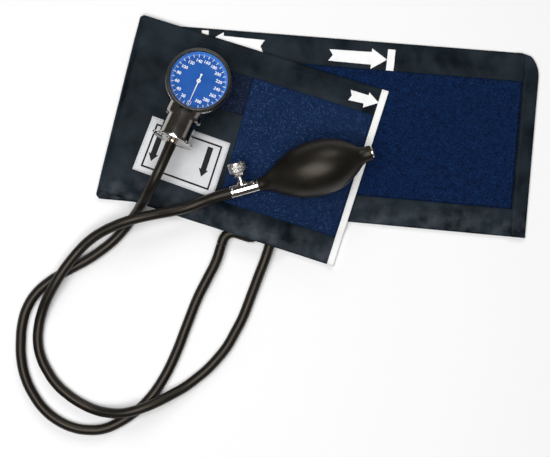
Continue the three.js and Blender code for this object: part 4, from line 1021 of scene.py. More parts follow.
white_ink = printing_ink("white_ink", (0.88, 0.885, 0.89), (0.93, 0.93, 0.935))
range_marks = [
    [(-90.4, 86.3), (-90.4, 79.2), (-84.9, 79.0), (-84.9, 86.1)],
    [
        (-84.1, 78.6), (-73.1, 84.7), (-73.1, 81.9), (-55, 79.9), (-40.8, 78.5), (-44.3, 73.8),
        (-42.1, 68.3), (-74.6, 72.5), (-74.8, 69.8),
    ],
    [
        (9.7, 71.4), (12.4, 66.9), (8.7, 62.4), (42.2, 59.3), (41.9, 55.9), (55, 63.1), (43.3, 72),
        (42.9, 69.2),
    ],
    [(55.7, 71.3), (53.9, 54.2), (59.8, 53.5), (61.6, 70.9)],
]
index_marks = [[
    (26.2, 39.2), (26.9, 34.5), (24.1, 31), (36.2, 28.4), (35.7, 25.2), (48.1, 29), (40.9, 37.3),
    (40.2, 34.9),
]]
printed_on("range_marks", surface_of(inner_cloth), range_marks, white_ink)
printed_on("index_mark", surface_of(outer_cloth), index_marks, white_ink)


# The label is a light grey satin patch, printed with a black frame and two arrows and sewn down on
# four sides. It lies on the short half, partly under the gauge's neck.
label_thickness, label_film = 0.3, 0.12
label_width, label_depth = 66, 45
label_puff, label_crease = 0.12, 0.1
label_corners = [(69.5, 68), (3.6, 66.1), (74.8, 23.8), (5.4, 21.4)]
label_spots = [
    front_spot(across / cuff_width, hook_share[0] - back / front_length)
    for back, across in label_corners
]


def label_spot(over, down):
    top = label_spots[0].lerp(label_spots[1], over)
    low = label_spots[2].lerp(label_spots[3], over)
    return top.lerp(low, down)


def label_place(over, down):
    spot = label_spot(over, down)
    from_side, from_end = min(over, 1 - over), min(down, 1 - down)
    edge = min(from_side * label_width, from_end * label_depth)
    creases = noise.noise(Vector((spot.x / 9, spot.y / 9, 8)))
    lift = label_puff * smooth(edge, 0, 1.2) + label_crease * max(0, creases)
    return (*spot, front_top(spot) + clearance + label_thickness - label_film + lift)


label_satin = grained(
    "label_satin", (0.62, 0.63, 0.65), (0.67, 0.68, 0.7), 1, 9, 0.03, (0.55, 0.7), specular=0.25,
)
woven(label_satin, 3600, 0.015)
label_rows = [i / 24 for i in range(25)]
label_columns = [i / 34 for i in range(35)]
label_patch = sewn_piece(
    "sewn_label_patch", label_rows, label_columns, lambda down, over: label_place(over, down),
    label_thickness - label_film, label_satin, ["sewn_label"],
)


def label_shape(*corners):
    return [tuple(label_spot(over, down)) for over, down in corners]


def label_line(left, top, right, low):
    return label_shape((left, top), (left, low), (right, low), (right, top))


frame_left, frame_right, frame_top, frame_low = 0.078, 0.922, 0.1, 0.9
line_over, line_down = 0.021, 0.031
label_marks = [
    label_line(frame_left, frame_top, frame_right, frame_top + line_down),
    label_line(frame_left, frame_low - line_down, frame_right, frame_low),
    label_line(frame_left, frame_top + line_down, frame_left + line_over, frame_low - line_down),
    label_line(frame_right - line_over, frame_top + line_down, frame_right, frame_low - line_down),
]
arrow_shaft, arrow_head, shaft_back, head_back = 0.034, 0.06, 0.13, 0.14
for middle, top, low in ((0.17, 0.22, 0.76), (0.79, 0.18, 0.72)):
    label_marks.append(label_shape(
        (middle - arrow_shaft, top), (middle - arrow_shaft, low - shaft_back),
        (middle - arrow_head, low - head_back), (middle, low),
        (middle + arrow_head, low - head_back), (middle + arrow_shaft, low - shaft_back),
        (middle + arrow_shaft, top),
    ))
black_ink = printing_ink("black_ink", (0.008, 0.008, 0.009), (0.014, 0.014, 0.016))
printed_on("label_marks", surface_of(label_patch), label_marks, black_ink)
side_seam, end_seam, label_stitch_lift = 0.02, 0.03, 0.03
label_edges = [
    seam_path(label_place, 12, start, end, label_stitch_lift) for start, end in (
        ((side_seam, 0), (side_seam, 1)), ((1 - side_seam, 0), (1 - side_seam, 1)),
        ((0, end_seam), (1, end_seam)), ((0, 1 - end_seam), (1, 1 - end_seam)),
    )
]
stitches("label_stitches", label_edges, dyed_thread("grey_thread", (0.3, 0.3, 0.31)), pitch=2.6)


# The gauge hangs on a band of dark woven tape, sewn across the short half beside the hook panel.
# The steel clip on the gauge's back slides under it, and the band rises over the clip.
strap_width, strap_thickness = 30.6, 1.2
strap_t = 0.7394
strap_middle = strap_t * cuff_width
clip_share = 0.274
blade_top = 9.8225
strap_rise_from, strap_rise_to = 11.5, 18
strap_rows = [mix(strap_share[0], strap_share[1], i / 48) for i in range(49)]
strap_columns = [(strap_middle + strap_width * (i / 16 - 0.5)) / cuff_width for i in range(17)]


def strap_place(share, t):
    spot = front_spot(t, share)
    away = abs(share - clip_share) * half_length(strap_t, front_length, front_angle)
    over = 1 - smooth(away, strap_rise_from, strap_rise_to)
    rest = front_top(spot) + clearance
    return (*spot, mix(rest, max(rest, blade_top + clearance), over) + strap_thickness)


woven_band = pile_fabric(
    "woven_band", (0.0035, 0.0075, 0.02), (0.008, 0.0145, 0.036), (0.07, 0.105, 0.19), 0.9, 0.36,
    0.3,
)
gauge_band = sewn_piece(
    "gauge_band", strap_rows, strap_columns, strap_place, strap_thickness, woven_band,
    ["gauge_strap"],
)
strap_line = [in_frame(strap_place(share, strap_t)) for share in strap_rows]
strap_low, strap_high = (mix(strap_columns[0], strap_columns[-1], end) for end in (0.05, 0.95))
strap_end_seam, strap_inner_seam = 0.012, 0.03
strap_seams = [
    seam_path(strap_place, 5, (share, strap_low), (share, strap_high)) for share in (
        strap_share[0] + strap_end_seam, strap_share[1] - strap_end_seam,
        strap_share[1] - strap_inner_seam,
    )
]
stitches("strap_stitches", strap_seams, navy_thread)


# The gauge's case is a spun metal cup, coated in black enamel. Its rear edge is rolled, and the
# neck's stem enters its side.
gauge_place = in_frame((-92.441, 41.086, 16.776))
gauge_lean, gauge_tilt = math.radians(23.5), math.radians(9)
gauge_matrix = (
    Matrix.Translation(gauge_place) @ Matrix.Rotation(-gauge_lean, 4, "Z")
    @ Matrix.Rotation(-gauge_tilt, 4, "X") @ Matrix.Scale(mm, 4)
)


def rounded(points, steps):
    """A smooth line through the outline's points."""
    line = [points[0]]
    for i in range(len(points) - 1):
        before = Vector(points[max(i - 1, 0)])
        first, second = Vector(points[i]), Vector(points[i + 1])
        after = Vector(points[min(i + 2, len(points) - 1)])
        for step in range(1, steps + 1):
            u = step / steps
            leave, arrive = (second - before) * 0.5, (after - first) * 0.5
            spot = (
                first * (2 * u ** 3 - 3 * u ** 2 + 1) + leave * (u ** 3 - 2 * u ** 2 + u)
                + second * (3 * u ** 2 - 2 * u ** 3) + arrive * (u ** 3 - u ** 2)
            )
            line.append(tuple(spot))
    return line


lay_down = {
    "Y": Matrix.Rotation(-math.pi / 2, 3, "X"), "-Y": Matrix.Rotation(math.pi / 2, 3, "X"),
    "-X": Matrix.Rotation(-math.pi / 2, 3, "Y"),
}


def spun(outline, sides=96, closed=True, axis="Z"):
    """Turns an outline of (radius, height) points round Z into one skin, then lays it down."""
    shell = bmesh.new()
    corners = [shell.verts.new((radius, 0, height)) for radius, height in outline]
    pairs = list(zip(corners, corners[1:]))
    if closed:
        pairs.append((corners[-1], corners[0]))
    for first, second in pairs:
        shell.edges.new((first, second))
    bmesh.ops.spin(
        shell, geom=shell.verts[:] + shell.edges[:], cent=(0, 0, 0), axis=(0, 0, 1), dvec=(0, 0, 0),
        angle=2 * math.pi, steps=sides, use_merge=True,
    )
    bmesh.ops.remove_doubles(shell, verts=shell.verts, dist=1e-4)
    bmesh.ops.recalc_face_normals(shell, faces=shell.faces)
    if axis in lay_down:
        bmesh.ops.rotate(shell, verts=shell.verts, matrix=lay_down[axis])
    return shell


sharp_from, bevel_from = math.radians(35), math.radians(28)


def made(name, shell, place, material, body="cuff", covers=(), edge=0.0):
    """One finished piece from a shell in its own frame, its corners sharp or with a small round."""
    bmesh.ops.transform(shell, matrix=place, verts=shell.verts)
    if not edge:
        for seam in shell.edges:
            seam.smooth = seam.calc_face_angle(0) < sharp_from
    piece = smooth_piece(name, shell, material)
    if edge:
        round_edges = piece.modifiers.new("edges", "BEVEL")
        round_edges.width = edge * mm
        round_edges.segments = 3
        round_edges.limit_method = "ANGLE"
        round_edges.angle_limit = bevel_from
        round_edges.harden_normals = True
    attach(piece, body)
    if covers:
        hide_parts(*covers)


black_coat = grained(
    "black_enamel_coat", (0.0105, 0.0095, 0.0085), (0.017, 0.0155, 0.014), 0.25, 8, 0.012,
    (0.34, 0.46),
)
case_radius, case_height, case_wall, case_floor = 24, 19.6, 1, 1.2
case_outline = [
    (0, 0), (case_radius - 2.2, 0), (case_radius - 1.2, 0.25), (case_radius - 0.4, 0.9),
    (case_radius - 0.05, 1.8), (case_radius, 2.6), (case_radius, case_height),
    (case_radius - case_wall, case_height), (case_radius - case_wall, case_floor + 1),
    (case_radius - case_wall - 1, case_floor), (0, case_floor),
]
made(
    "spun_case", spun(case_outline, closed=False), gauge_matrix, black_coat,
    covers=["gauge_case"], edge=0.15,
)


# The dial is a stamped disc in bright blue enamel under a paler blue ring, printed in white.
# A long tick stands at every ten and a short one at every two, and plain numbers at every twenty.
dial_top = 16.9
dial_radius = 22.6
sweep = 338
full_scale = 300


def blue_enamel(name, dark, light):
    return grained(name, dark, light, 0.3, 16, 0.01, (0.4, 0.5), specular=0.15)


def band(inner, outer, low, high):
    """The outline of a plain ring."""
    return [(inner, low), (outer, low), (outer, high), (inner, high)]


dial_enamel = blue_enamel("dial_enamel", (0.009, 0.083, 0.345), (0.013, 0.098, 0.39))
made(
    "dial_disc", spun(band(0.8, dial_radius, dial_top - 0.6, dial_top)), gauge_matrix, dial_enamel,
    covers=["dial_plate"], edge=0.05,
)
made(
    "dial_pale_band", spun(band(20.5, 22.3, dial_top + 0.02, dial_top + 0.05)), gauge_matrix,
    blue_enamel("pale_enamel", (0.03, 0.19, 0.62), (0.045, 0.225, 0.68)),
)
spacer_inside = dial_radius - 0.9
spacer = [
    (spacer_inside, dial_top + 0.3), (dial_radius, dial_top + 0.3), (dial_radius, case_height),
    (spacer_inside + 0.25, case_height), (spacer_inside, case_height - 0.3),
]
made(
    "dial_spacer", spun(spacer), gauge_matrix,
    blue_enamel("spacer_enamel", (0.05, 0.2, 0.6), (0.07, 0.24, 0.66)),
    covers=["dial_ring"], edge=0.08,
)
dial_ink = printing_ink("dial_ink", (0.86, 0.89, 0.93), (0.93, 0.95, 0.97))
faint_ink = printing_ink("faint_dial_ink", (0.3, 0.42, 0.75), (0.36, 0.5, 0.82))
print_height, print_thickness = dial_top + 0.06, 0.04


def dial_direction(reading):
    turn = math.radians(-90 - sweep * reading / full_scale)
    return Vector((math.cos(turn), math.sin(turn), 0))


def printed_bar(marks, middle, length, width, turn=Matrix.Identity(4)):
    size = Matrix.Diagonal((length, width, print_thickness, 1))
    place = Matrix.Translation((*middle, print_height))
    bmesh.ops.create_cube(marks, size=1, matrix=place @ turn @ size)


def dial_ticks(name, readings, inner, outer, width, ink):
    marks = bmesh.new()
    for reading in readings:
        out = dial_direction(reading)
        turn = out.to_track_quat("X", "Z").to_matrix().to_4x4()
        printed_bar(marks, (out * (inner + outer) / 2).xy, outer - inner, width, turn)
    made(name, marks, gauge_matrix, ink)


tens = range(0, full_scale + 1, 10)
twos = [reading for reading in range(10, full_scale, 2) if reading % 10]
long_from, short_from, ticks_to = 18.8, 20, 21.4
dial_ticks("dial_long_ticks", tens, long_from, ticks_to, 0.56, dial_ink)
dial_ticks("dial_short_ticks", twos, short_from, ticks_to, 0.2, faint_ink)
zero_box, box_line = bmesh.new(), 0.32
for side in (-1.25, 1.25):
    printed_bar(zero_box, (side, -18.6), box_line, 3)
for level in (-17.1, -20.1):
    printed_bar(zero_box, (0, level), 2.8, box_line)
made("dial_zero_box", zero_box, gauge_matrix, dial_ink)
digits_height, digits_stroke = 2.75, 0.07
two_digits_reach, three_digits_reach, side_digits_reach = 16.4, 15.2, 0.7


def solid_from(line):
    """The mesh that a word or a curve makes."""
    holder = set_down(line.name, line)
    mesh = bpy.data.meshes.new_from_object(holder)
    bpy.data.objects.remove(holder)
    return mesh


numbers = bmesh.new()
for reading in range(20, full_scale + 1, 20):
    words = bpy.data.curves.new("number", "FONT")
    words.body = str(reading)
    words.size = digits_height * 1.25
    words.align_x, words.align_y = "CENTER", "CENTER"
    words.extrude, words.offset, words.resolution_u = 0.02, digits_stroke, 3
    figures = solid_from(words)
    out = dial_direction(reading)
    reach = three_digits_reach + side_digits_reach * abs(out.y)
    if reading < 100:
        reach = two_digits_reach
    figures.transform(Matrix.Translation(out * reach + Vector((0, 0, print_height))))
    numbers.from_mesh(figures)
    bpy.data.meshes.remove(figures)
made("dial_numbers", numbers, gauge_matrix, dial_ink)


# The pointer is a thin white blade with a broad tail, pressed on the arbor by a round white hub.
# It rests at zero, at the foot of the dial.
needle_low, needle_high = 17.8, 18.3
blade = bmesh.new()
blade_outline = [
    (-0.16, -19.4), (0.16, -19.4), (0.42, -1), (0.45, 4), (0.85, 5.6), (0.6, 6), (-0.6, 6),
    (-0.85, 5.6), (-0.45, 4), (-0.42, -1),
]
blade_face = blade.faces.new([blade.verts.new((x, y, needle_low + 0.1)) for x, y in blade_outline])
raised = bmesh.ops.extrude_face_region(blade, geom=[blade_face])["geom"]
raised_corners = [corner for corner in raised if isinstance(corner, bmesh.types.BMVert)]
bmesh.ops.translate(blade, verts=raised_corners, vec=(0, 0, 0.3))
hub_outline = [
    (0.42, needle_low), (1.3, needle_low), (1.6, needle_low + 0.15), (1.6, needle_high),
    (1.35, needle_high + 0.18), (0.75, needle_high + 0.2), (0.42, needle_high + 0.1),
]


def add_shell(shell, extra):
    """Adds a second shell to the first and uses it up."""
    carrier = bpy.data.meshes.new("carrier")
    extra.to_mesh(carrier)
    extra.free()
    shell.from_mesh(carrier)
    bpy.data.meshes.remove(carrier)


add_shell(blade, spun(hub_outline, sides=40))
bmesh.ops.recalc_face_normals(blade, faces=blade.faces)
needle_paint = printing_ink("needle_paint", (0.78, 0.79, 0.8), (0.88, 0.89, 0.9))
made(
    "pointer_blade", blade, gauge_matrix, needle_paint, body="pointer",
    covers=["needle"], edge=0.04,
)


# The lens is a flat pane of clear plastic with a polished edge, held down by the bezel's lip.
# It mirrors more at a flat angle, and carries a thin haze of dust.
plastic_index = 1.45


def clear_pane():
    material = plain_finish("clear_pane", roughness=0.04)
    tree, shader = material.node_tree, shader_of(material)
    shader.inputs["Base Color"].default_value = (0.98, 0.99, 1, 1)
    shader.inputs["Transmission Weight"].default_value = 1
    shader.inputs["IOR"].default_value = plastic_index
    facing = finish_node(tree, "ShaderNodeFresnel", {"IOR": plastic_index}).outputs["Fac"]
    tree.links.new(stretched(tree, facing, 0.03, 0.6, 0.03, 0.8), shader.inputs["Alpha"])
    where = tree.nodes.new("ShaderNodeTexCoord").outputs["Object"]
    dust = finish_node(tree, "ShaderNodeTexNoise", {"Vector": where, "Scale": 1 / (2 * mm)})
    haze = stretched(tree, dust.outputs["Fac"], 0, 1, 0.02, 0.07)
    tree.links.new(haze, shader.inputs["Roughness"])
    return material


lens_low, lens_high, lens_radius = 19.9, 21.4, 23.8
lens_outline = band(0, lens_radius, lens_low, lens_high)
made(
    "clear_lens", spun(lens_outline, closed=False), gauge_matrix, clear_pane(),
    covers=["gauge_lens"], edge=0.15,
)


# The bezel is a spun black ring with a rounded shoulder, snapped over the case's mouth.
# A narrow chromed hoop under it shows as a bright line round its foot.
bezel_radius, bezel_opening = 25.6, 22.2
bezel_foot, bezel_top = 16.1, 23.1
hoop_top = bezel_foot + 2.4
bezel_outline = [
    (24.6, hoop_top + 0.05), (24.95, hoop_top + 0.05), (25.1, hoop_top + 0.5), (25.1, bezel_top - 2),
    (24.9, bezel_top - 1.1), (24.4, bezel_top - 0.4), (23.8, bezel_top - 0.06),
    (23.2, bezel_top), (22.9, bezel_top - 0.05), (22.5, bezel_top - 0.35),
    (bezel_opening, bezel_top - 0.9), (bezel_opening, bezel_top - 1.4), (24.3, bezel_top - 1.4),
    (24.3, hoop_top + 0.05),
]
made(
    "black_bezel", spun(bezel_outline, sides=128), gauge_matrix, black_coat,
    covers=["bezel_ring"], edge=0.08,
)


def worked_metal(name, dark, light, grain, patches, depth, gloss):
    return grained(name, dark, light, grain, patches, depth, gloss, metallic=1.0)


chromed = worked_metal(
    "polished_chrome", (0.62, 0.6, 0.575), (0.72, 0.705, 0.685), 0.5, 11, 0.003, (0.06, 0.13),
)
nickelled = worked_metal(
    "nickelled_brass", (0.5, 0.43, 0.34), (0.66, 0.6, 0.5), 0.4, 5, 0.006, (0.16, 0.28),
)
hoop_outline = [
    (24.35, bezel_foot), (25.3, bezel_foot), (25.6, bezel_foot + 0.3), (25.58, bezel_foot + 0.8),
    (25.35, hoop_top - 0.3), (25.2, hoop_top), (24.35, hoop_top),
]
made("chrome_hoop", spun(hoop_outline, sides=128), gauge_matrix, chromed, edge=0.05)


# The neck is a short wide tube of dark-plated brass, with a cheek on each side where it is shaped to
# the round case. It houses the stem that carries the air in.
plated = worked_metal(
    "dark_plating", (0.34, 0.325, 0.3), (0.43, 0.415, 0.39), 0.5, 11, 0.003, (0.1, 0.17),
)
neck_height, neck_radius, neck_inner = 11.4, 12.3, 11.1
neck_reach = 47.6
stem_frame = gauge_matrix @ Matrix.Translation((0, 0, neck_height))
tube_outline = [
    (neck_inner, 20), (neck_radius, 20), (neck_radius, 22), (neck_radius, 24),
    (neck_radius, neck_reach - 2), (neck_radius, neck_reach - 0.9),
    (neck_radius - 0.15, neck_reach - 0.25), (neck_radius - 0.6, neck_reach),
    (neck_inner + 0.1, neck_reach), (neck_inner, neck_reach - 0.4), (neck_inner, 22),
]
neck_mouth, second_ring, ring_step = -20.5, -22.5, 0.6


def hollow(radius, corner):
    """How far back a corner of the neck lies to fit round the case or the bezel."""
    return -math.sqrt((radius + clearance) ** 2 - corner.co.x ** 2)


neck = spun(tube_outline, sides=96, axis="-Y")
for corner in neck.verts:
    if corner.co.y > second_ring:
        under_bezel = neck_height + corner.co.z > bezel_foot - clearance
        step = 0 if corner.co.y > neck_mouth else ring_step
        corner.co.y = hollow(bezel_radius if under_bezel else case_radius, corner) - step
made("plated_neck", neck, stem_frame, plated, covers=["gauge_neck"])
saddle_radius, saddle_reach, saddle_flatness = 14.8, 31, 0.72
cheek_inner, cheek_mouth = neck_radius - 0.4, -18.5
cheek_outline = [
    (cheek_inner, 18), (saddle_radius, 18), (saddle_radius, 27.5), (saddle_radius - 0.2, 29.2),
    (saddle_radius - 0.8, 30.4), (saddle_radius - 1.7, saddle_reach), (cheek_inner, saddle_reach),
]
cheeks = spun(cheek_outline, sides=96, axis="-Y")
for corner in cheeks.verts:
    if corner.co.y > cheek_mouth:
        corner.co.y = hollow(case_radius, corner)
    radius = math.hypot(corner.co.x, corner.co.z)
    if radius > neck_radius:
        corner.co.z = corner.co.z / radius * max(cheek_inner, radius * saddle_flatness)
made("neck_cheeks", cheeks, stem_frame, plated, edge=0.1)


# A dished chrome cap closes the neck's end. Its rim is rolled, and the boss in its middle ends in the
# barbed nipple that the hose is pushed over.
cap_face = neck_reach + clearance
flange_thickness = 1.6
boss_end = cap_face + flange_thickness + 2
dish = rounded([
    (16.3, cap_face + 1.6), (15.5, cap_face + 1.35), (14.4, cap_face + 0.7),
    (12.8, cap_face + 0.4), (11.2, cap_face + 0.75), (9.6, cap_face + 1.05), (8, cap_face + 0.75),
    (6.5, cap_face + 0.45), (5.2, cap_face + 0.7), (4.1, cap_face + 1.25),
], 3)
cap_outline = [
    (1.1, 17), (2, 17), (2, cap_face - 4), (3.4, cap_face - 3), (10.9, cap_face - 3),
    (10.9, cap_face), (16.2, cap_face), (16.8, cap_face + 0.25), (17, cap_face + 0.8),
    (16.8, cap_face + 1.35), *dish, (2.9, cap_face + 1.3), (2.9, cap_face + 0.6), (1.1, cap_face + 0.6),
]
made(
    "chrome_end_cap", spun(cap_outline, sides=96, axis="-Y"), stem_frame, chromed,
    covers=["neck_end_cap"],
)
boss_outline = [
    (0.9, cap_face + 0.65), (2.8, cap_face + 0.65), (2.8, cap_face + 1.2), (3.9, cap_face + 1.35),
    (4.1, cap_face + 1.6), (4.1, boss_end - 1), (3.9, boss_end - 0.7), (3.5, boss_end - 0.6),
    (3.5, boss_end), (2.2, boss_end), (2.2, boss_end + 1.6), (2.5, boss_end + 1.7),
    (2.2, boss_end + 3.6), (2.5, boss_end + 3.7), (2, boss_end + 8), (0.9, boss_end + 8),
]
made("stem_ferrule", spun(boss_outline, sides=64, axis="-Y"), stem_frame, nickelled)


# The bulb is one moulded shell of thick black rubber, drawn in to a short neck at each end.
# It lies on the hook panel with its valve towards the gauge, and its skin has a soft satin sheen.
bulb_matrix = (
    Matrix.Translation(in_frame((-2.1, -23.4, 32.094))) @ Matrix.Rotation(math.radians(-74.3), 4, "Z")
    @ Matrix.Rotation(math.radians(9), 4, "X") @ Matrix.Scale(mm, 4)
)
bulb_outline = [
    (-45, 5.4), (-40, 6.1), (-36, 8), (-31, 11.2), (-24, 15.3), (-16, 18.9), (-8, 20.9), (2, 21.6),
    (11, 20.9), (19, 18.8), (26, 15.2), (32, 11), (36, 7.6), (40, 6.1), (45, 5.8),
]
bulb_wall, bulb_bore = 2.4, 3
bulb_skin = [(radius, along) for along, radius in rounded(bulb_outline, 5)]
tip_radius, tip_end = bulb_skin[0]
bulb_skin = [(tip_radius - 0.5, tip_end), (tip_radius, -44.5), *bulb_skin[1:-1]]
bulb_skin += [(5.8, 44.4), (5.65, 44.8), (5.2, 45)]
bulb_inside = [
    (max(bulb_bore, radius - bulb_wall), along) for along, radius in rounded(bulb_outline, 2)
]
made(
    "rubber_bulb", spun(bulb_skin + bulb_inside[::-1], sides=96, axis="Y"), bulb_matrix, rubber,
    covers=["bulb_shell"],
)


# The bulb breathes in through a small turned metal valve pressed into its tip. A loose rubber disc
# inside it lets air in and none out.
inlet_base = 45 + clearance
inlet_outline = [
    (0.9, inlet_base + 0.9), (1.4, inlet_base + 1.3), (4, inlet_base + 1.3), (4.4, inlet_base + 0.9),
    (4.4, inlet_base), (2.8, inlet_base), (2.8, 37), (1.3, 37), (1.3, 37.4), (2.1, 37.4), (2.1, 40),
    (0.9, 40),
]
made(
    "inlet_valve", spun(inlet_outline, sides=48, axis="Y"), bulb_matrix, nickelled,
    covers=["inlet_valve_body"], edge=0.08,
)


# The release valve is a chromed barrel in two parts. The cap is pushed into the bulb's neck, and the
# body carries the boss for the thumb screw and the nipple for the hose.
valve_cap_outline = [
    (1.1, -38), (2.5, -38), (2.8, -40), (2.5, -40.2), (2.5, -45.3), (4.9, -45.3), (5.2, -45.6),
    (5.2, -48), (4.2, -48), (3.6, -48), (3.6, -49.8), (1.1, -49.8),
]
made(
    "valve_cap", spun(valve_cap_outline, sides=64, axis="Y"), bulb_matrix, chromed,
    covers=["bulb_nipple"], edge=0.08,
)
barrel_outline = [
    (3.7, -48.3), (4.9, -48.3), (5.1, -48.4), (5.2, -48.65), (5.2, -49.3), (5.2, -64.3),
    (5.2, -64.9), (5.1, -65.15), (4.8, -65.25), (4.8, -65.6), (5.05, -65.7), (5.15, -65.95),
    (5.15, -67.4), (5, -67.8), (4.6, -68), (2.2, -68), (2.2, -69.6), (2.5, -69.7), (2.2, -71.6),
    (2.5, -71.7), (2, -76), (1.1, -76), (1.1, -53.9), (3.7, -53.9),
]
made(
    "valve_barrel", spun(barrel_outline, sides=96, axis="Y"), bulb_matrix, chromed,
    covers=["valve_body"],
)
screw_lean = math.radians(7)
screw_frame = bulb_matrix @ Matrix.Translation((0, -58, 0)) @ Matrix.Rotation(screw_lean, 4, "Y")
boss_outline = [
    (2.45, 4), (3.7, 3.2), (3.7, 5.8), (3.62, 6.1), (3.35, 6.3), (2.6, 6.3), (2.45, 6.15),
]
made("screw_boss", spun(boss_outline, sides=48, axis="-X"), screw_frame, chromed)


# The thumb screw closes the valve. Its wide head has a diamond knurl, and its slim neck shows between
# the head and the boss.
satin_chrome = worked_metal(
    "satin_chrome", (0.58, 0.555, 0.52), (0.74, 0.72, 0.69), 0.3, 4, 0.003, (0.2, 0.3),
)
head_start, head_end, thumb_radius = 10.4, 21.6, 7
thumb_outline = [
    (0, 0.7), (0.5, 0.7), (1.7, 2.2), (1.7, 6.1), (2.05, 6.1), (2.05, head_start - 0.6),
    (2.6, head_start), (3.9, head_start), (4.15, head_start + 0.15), (4.2, head_start + 0.7),
    (4.7, head_start + 1.3), (6.1, head_start + 3.2), (6.5, head_start + 3.6),
    (6.6, head_start + 4), (6.4, head_start + 4.2), (6.4, head_end - 1.2), (6.6, head_end - 1),
    (6.6, head_end - 0.5), (6.3, head_end - 0.15), (5.7, head_end), (4.4, head_end - 0.1),
    (2.2, head_end - 0.35), (0, head_end - 0.4),
]
knurled_from, knurled_to = head_start + 4.1, head_end - 1
knurl_rows, knurl_sides = 44, 336
knurl_skin, groove_floor, tooth_height, tooth_ends = 6.1, 6.52, 0.26, 0.4
knurl_outline = [
    (6.3, mix(knurled_from, knurled_to, i / knurl_rows)) for i in range(knurl_rows + 1)
]
knurl_outline += [(5.9, knurled_to), (5.9, knurled_from)]
screw_head = spun(thumb_outline, sides=64, closed=False)
knurl = spun(knurl_outline, sides=knurl_sides)
teeth_round, tooth_pitch = 42, 1.05
for corner in knurl.verts:
    reach = math.hypot(corner.co.x, corner.co.y)
    if reach < knurl_skin:
        continue
    turn = math.atan2(corner.co.y, corner.co.x) / (2 * math.pi) * teeth_round
    rise = (corner.co.z - knurled_from) / tooth_pitch
    groove_a = abs((turn + rise) % 1 - 0.5) * 2
    groove_b = abs((turn - rise) % 1 - 0.5) * 2
    from_end = min(corner.co.z - knurled_from, knurled_to - corner.co.z)
    ends = max(0, min(1, from_end / tooth_ends))
    radius = groove_floor + tooth_height * min(groove_a, groove_b) * ends
    scale = min(radius, thumb_radius - 0.02) / reach
    corner.co.x *= scale
    corner.co.y *= scale
bmesh.ops.recalc_face_normals(knurl, faces=knurl.faces)
add_shell(screw_head, knurl)
bmesh.ops.rotate(screw_head, verts=screw_head.verts, matrix=lay_down["-X"])
made(
    "knurled_thumb_screw", screw_head, screw_frame, satin_chrome, body="screw",
    covers=["thumb_screw"],
)


# Inside the gauge and the valves, the stamped, turned and bent pieces keep their plain solids.
# Brass, steel and black rubber each have their own finish.
turned_brass = worked_metal(
    "turned_brass", (0.55, 0.36, 0.13), (0.68, 0.48, 0.2), 0.4, 6, 0.01, (0.22, 0.36),
)
spring_steel = worked_metal(
    "spring_steel", (0.36, 0.36, 0.37), (0.48, 0.48, 0.49), 0.5, 6, 0.01, (0.25, 0.4),
)
for finish, names in (
    (turned_brass, [
        "movement_base_plate", "movement_top_plate", "movement_pillar_1", "movement_pillar_2",
        "movement_pillar_3", "sector_gear", "hairspring", "capsule", "capsule_socket",
    ]),
    (spring_steel, [
        "plate_screw_1", "plate_screw_2", "plate_screw_3", "pinion_arbor", "rocking_shaft",
        "push_rod", "belt_clip", "clip_rivet_1", "clip_rivet_2",
    ]),
    (rubber, ["inlet_valve_disc", "check_disc", "screw_seal"]),
):
    for name in names:
        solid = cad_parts[name]
        solid.data.materials.clear()
        solid.data.materials.append(finish)


# Two black rubber outlets leave the bladder at the cuff's lower edge, under a pocket of the cloth.
# One bends round to lie square to the edge, and the other is a short straight spout.
low_edge = (front_low[1] - front_low[0]).normalized()
low_inward = Vector((-low_edge.y, low_edge.x))
elbow_along, elbow_reach, elbow_bend, elbow_tuck, elbow_inlet = 106, 11, 8.5, 1.2, 24
spout_along, spout_inset = 142, 3
outlet_start = 10.4
inner_bend = 6
pocket_from, pocket_gap = -0.5, 0.1


def outlet_point(along, inward):
    start = fold_centre(0) + low_edge * (along - fold_radius(0))
    return Vector((*(start + low_inward * inward), outlet_height))


def arc(centre_along, centre_inward, radius, from_turn, to_turn, count):
    points = []
    for i in range(count + 1):
        turn = math.radians(mix(from_turn, to_turn, i / count))
        across = radius * math.cos(turn), radius * math.sin(turn)
        points.append(outlet_point(centre_along + across[0], centre_inward + across[1]))
    return points


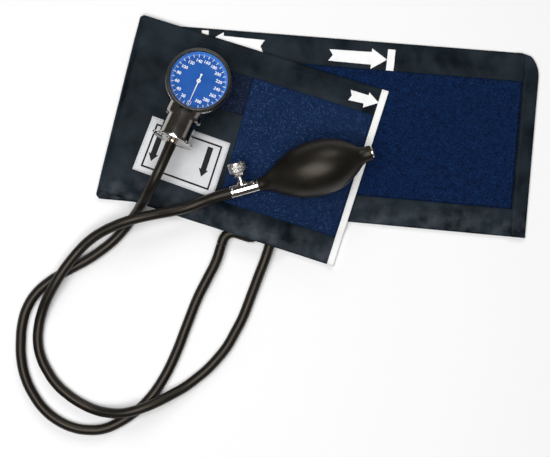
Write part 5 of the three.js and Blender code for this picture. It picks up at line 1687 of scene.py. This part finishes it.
elbow_route = [outlet_point(elbow_along + elbow_inlet, outlet_start)]
elbow_route += arc(
    elbow_along + elbow_inlet - inner_bend, elbow_tuck + inner_bend, inner_bend, 0, -90, 8,
)
elbow_route += arc(elbow_along + elbow_bend, elbow_tuck - elbow_bend, elbow_bend, 90, 180, 10)
elbow_route.append(outlet_point(elbow_along, -elbow_reach))
spout_route = [
    outlet_point(spout_along, mix(outlet_start, spout_inset, i / 4)) for i in range(5)
]
nipple_outline = [
    (1.1, -1), (2.2, -1), (2.2, 2.6), (2.5, 2.8), (2.2, 5.4), (2.2, 5.5), (2.5, 5.9), (2.2, 8),
    (1.1, 8),
]


def outlet(name, route, covers):
    line = bpy.data.curves.new(name, "CURVE")
    line.dimensions = "3D"
    spline = line.splines.new("POLY")
    spline.points.add(len(route) - 1)
    for knot, point in zip(spline.points, route):
        knot.co = (*point, 1)
    line.bevel_depth = hose_radius / mm
    line.bevel_resolution = 8
    line.use_fill_caps = True
    pipe = bmesh.new()
    pipe_mesh = solid_from(line)
    pipe.from_mesh(pipe_mesh)
    bpy.data.meshes.remove(pipe_mesh)
    bmesh.ops.remove_doubles(pipe, verts=pipe.verts, dist=1e-3)
    for corner in pipe.verts:
        spot = Vector((corner.co.x, corner.co.y))
        if inside(*front_low, spot) > pocket_from:
            corner.co.z = max(corner.co.z, front_base(spot) + clearance)
            corner.co.z = min(corner.co.z, front_under_outer(spot) - pocket_gap)
    nipple = spun(nipple_outline, sides=24)
    end, axis = route[-1], (route[-1] - route[-2]).normalized()
    turn = Vector((0, 0, 1)).rotation_difference(axis).to_matrix().to_4x4()
    bmesh.ops.transform(nipple, matrix=Matrix.Translation(end) @ turn, verts=nipple.verts)
    add_shell(pipe, nipple)
    bmesh.ops.recalc_face_normals(pipe, faces=pipe.faces)
    place = Matrix.Scale(mm, 4) @ Matrix.Translation(layout_shift)
    made(name, pipe, place, rubber, covers=[covers])


outlet("bent_outlet", elbow_route, "bladder_elbow")
outlet("straight_outlet", spout_route, "bladder_spout")
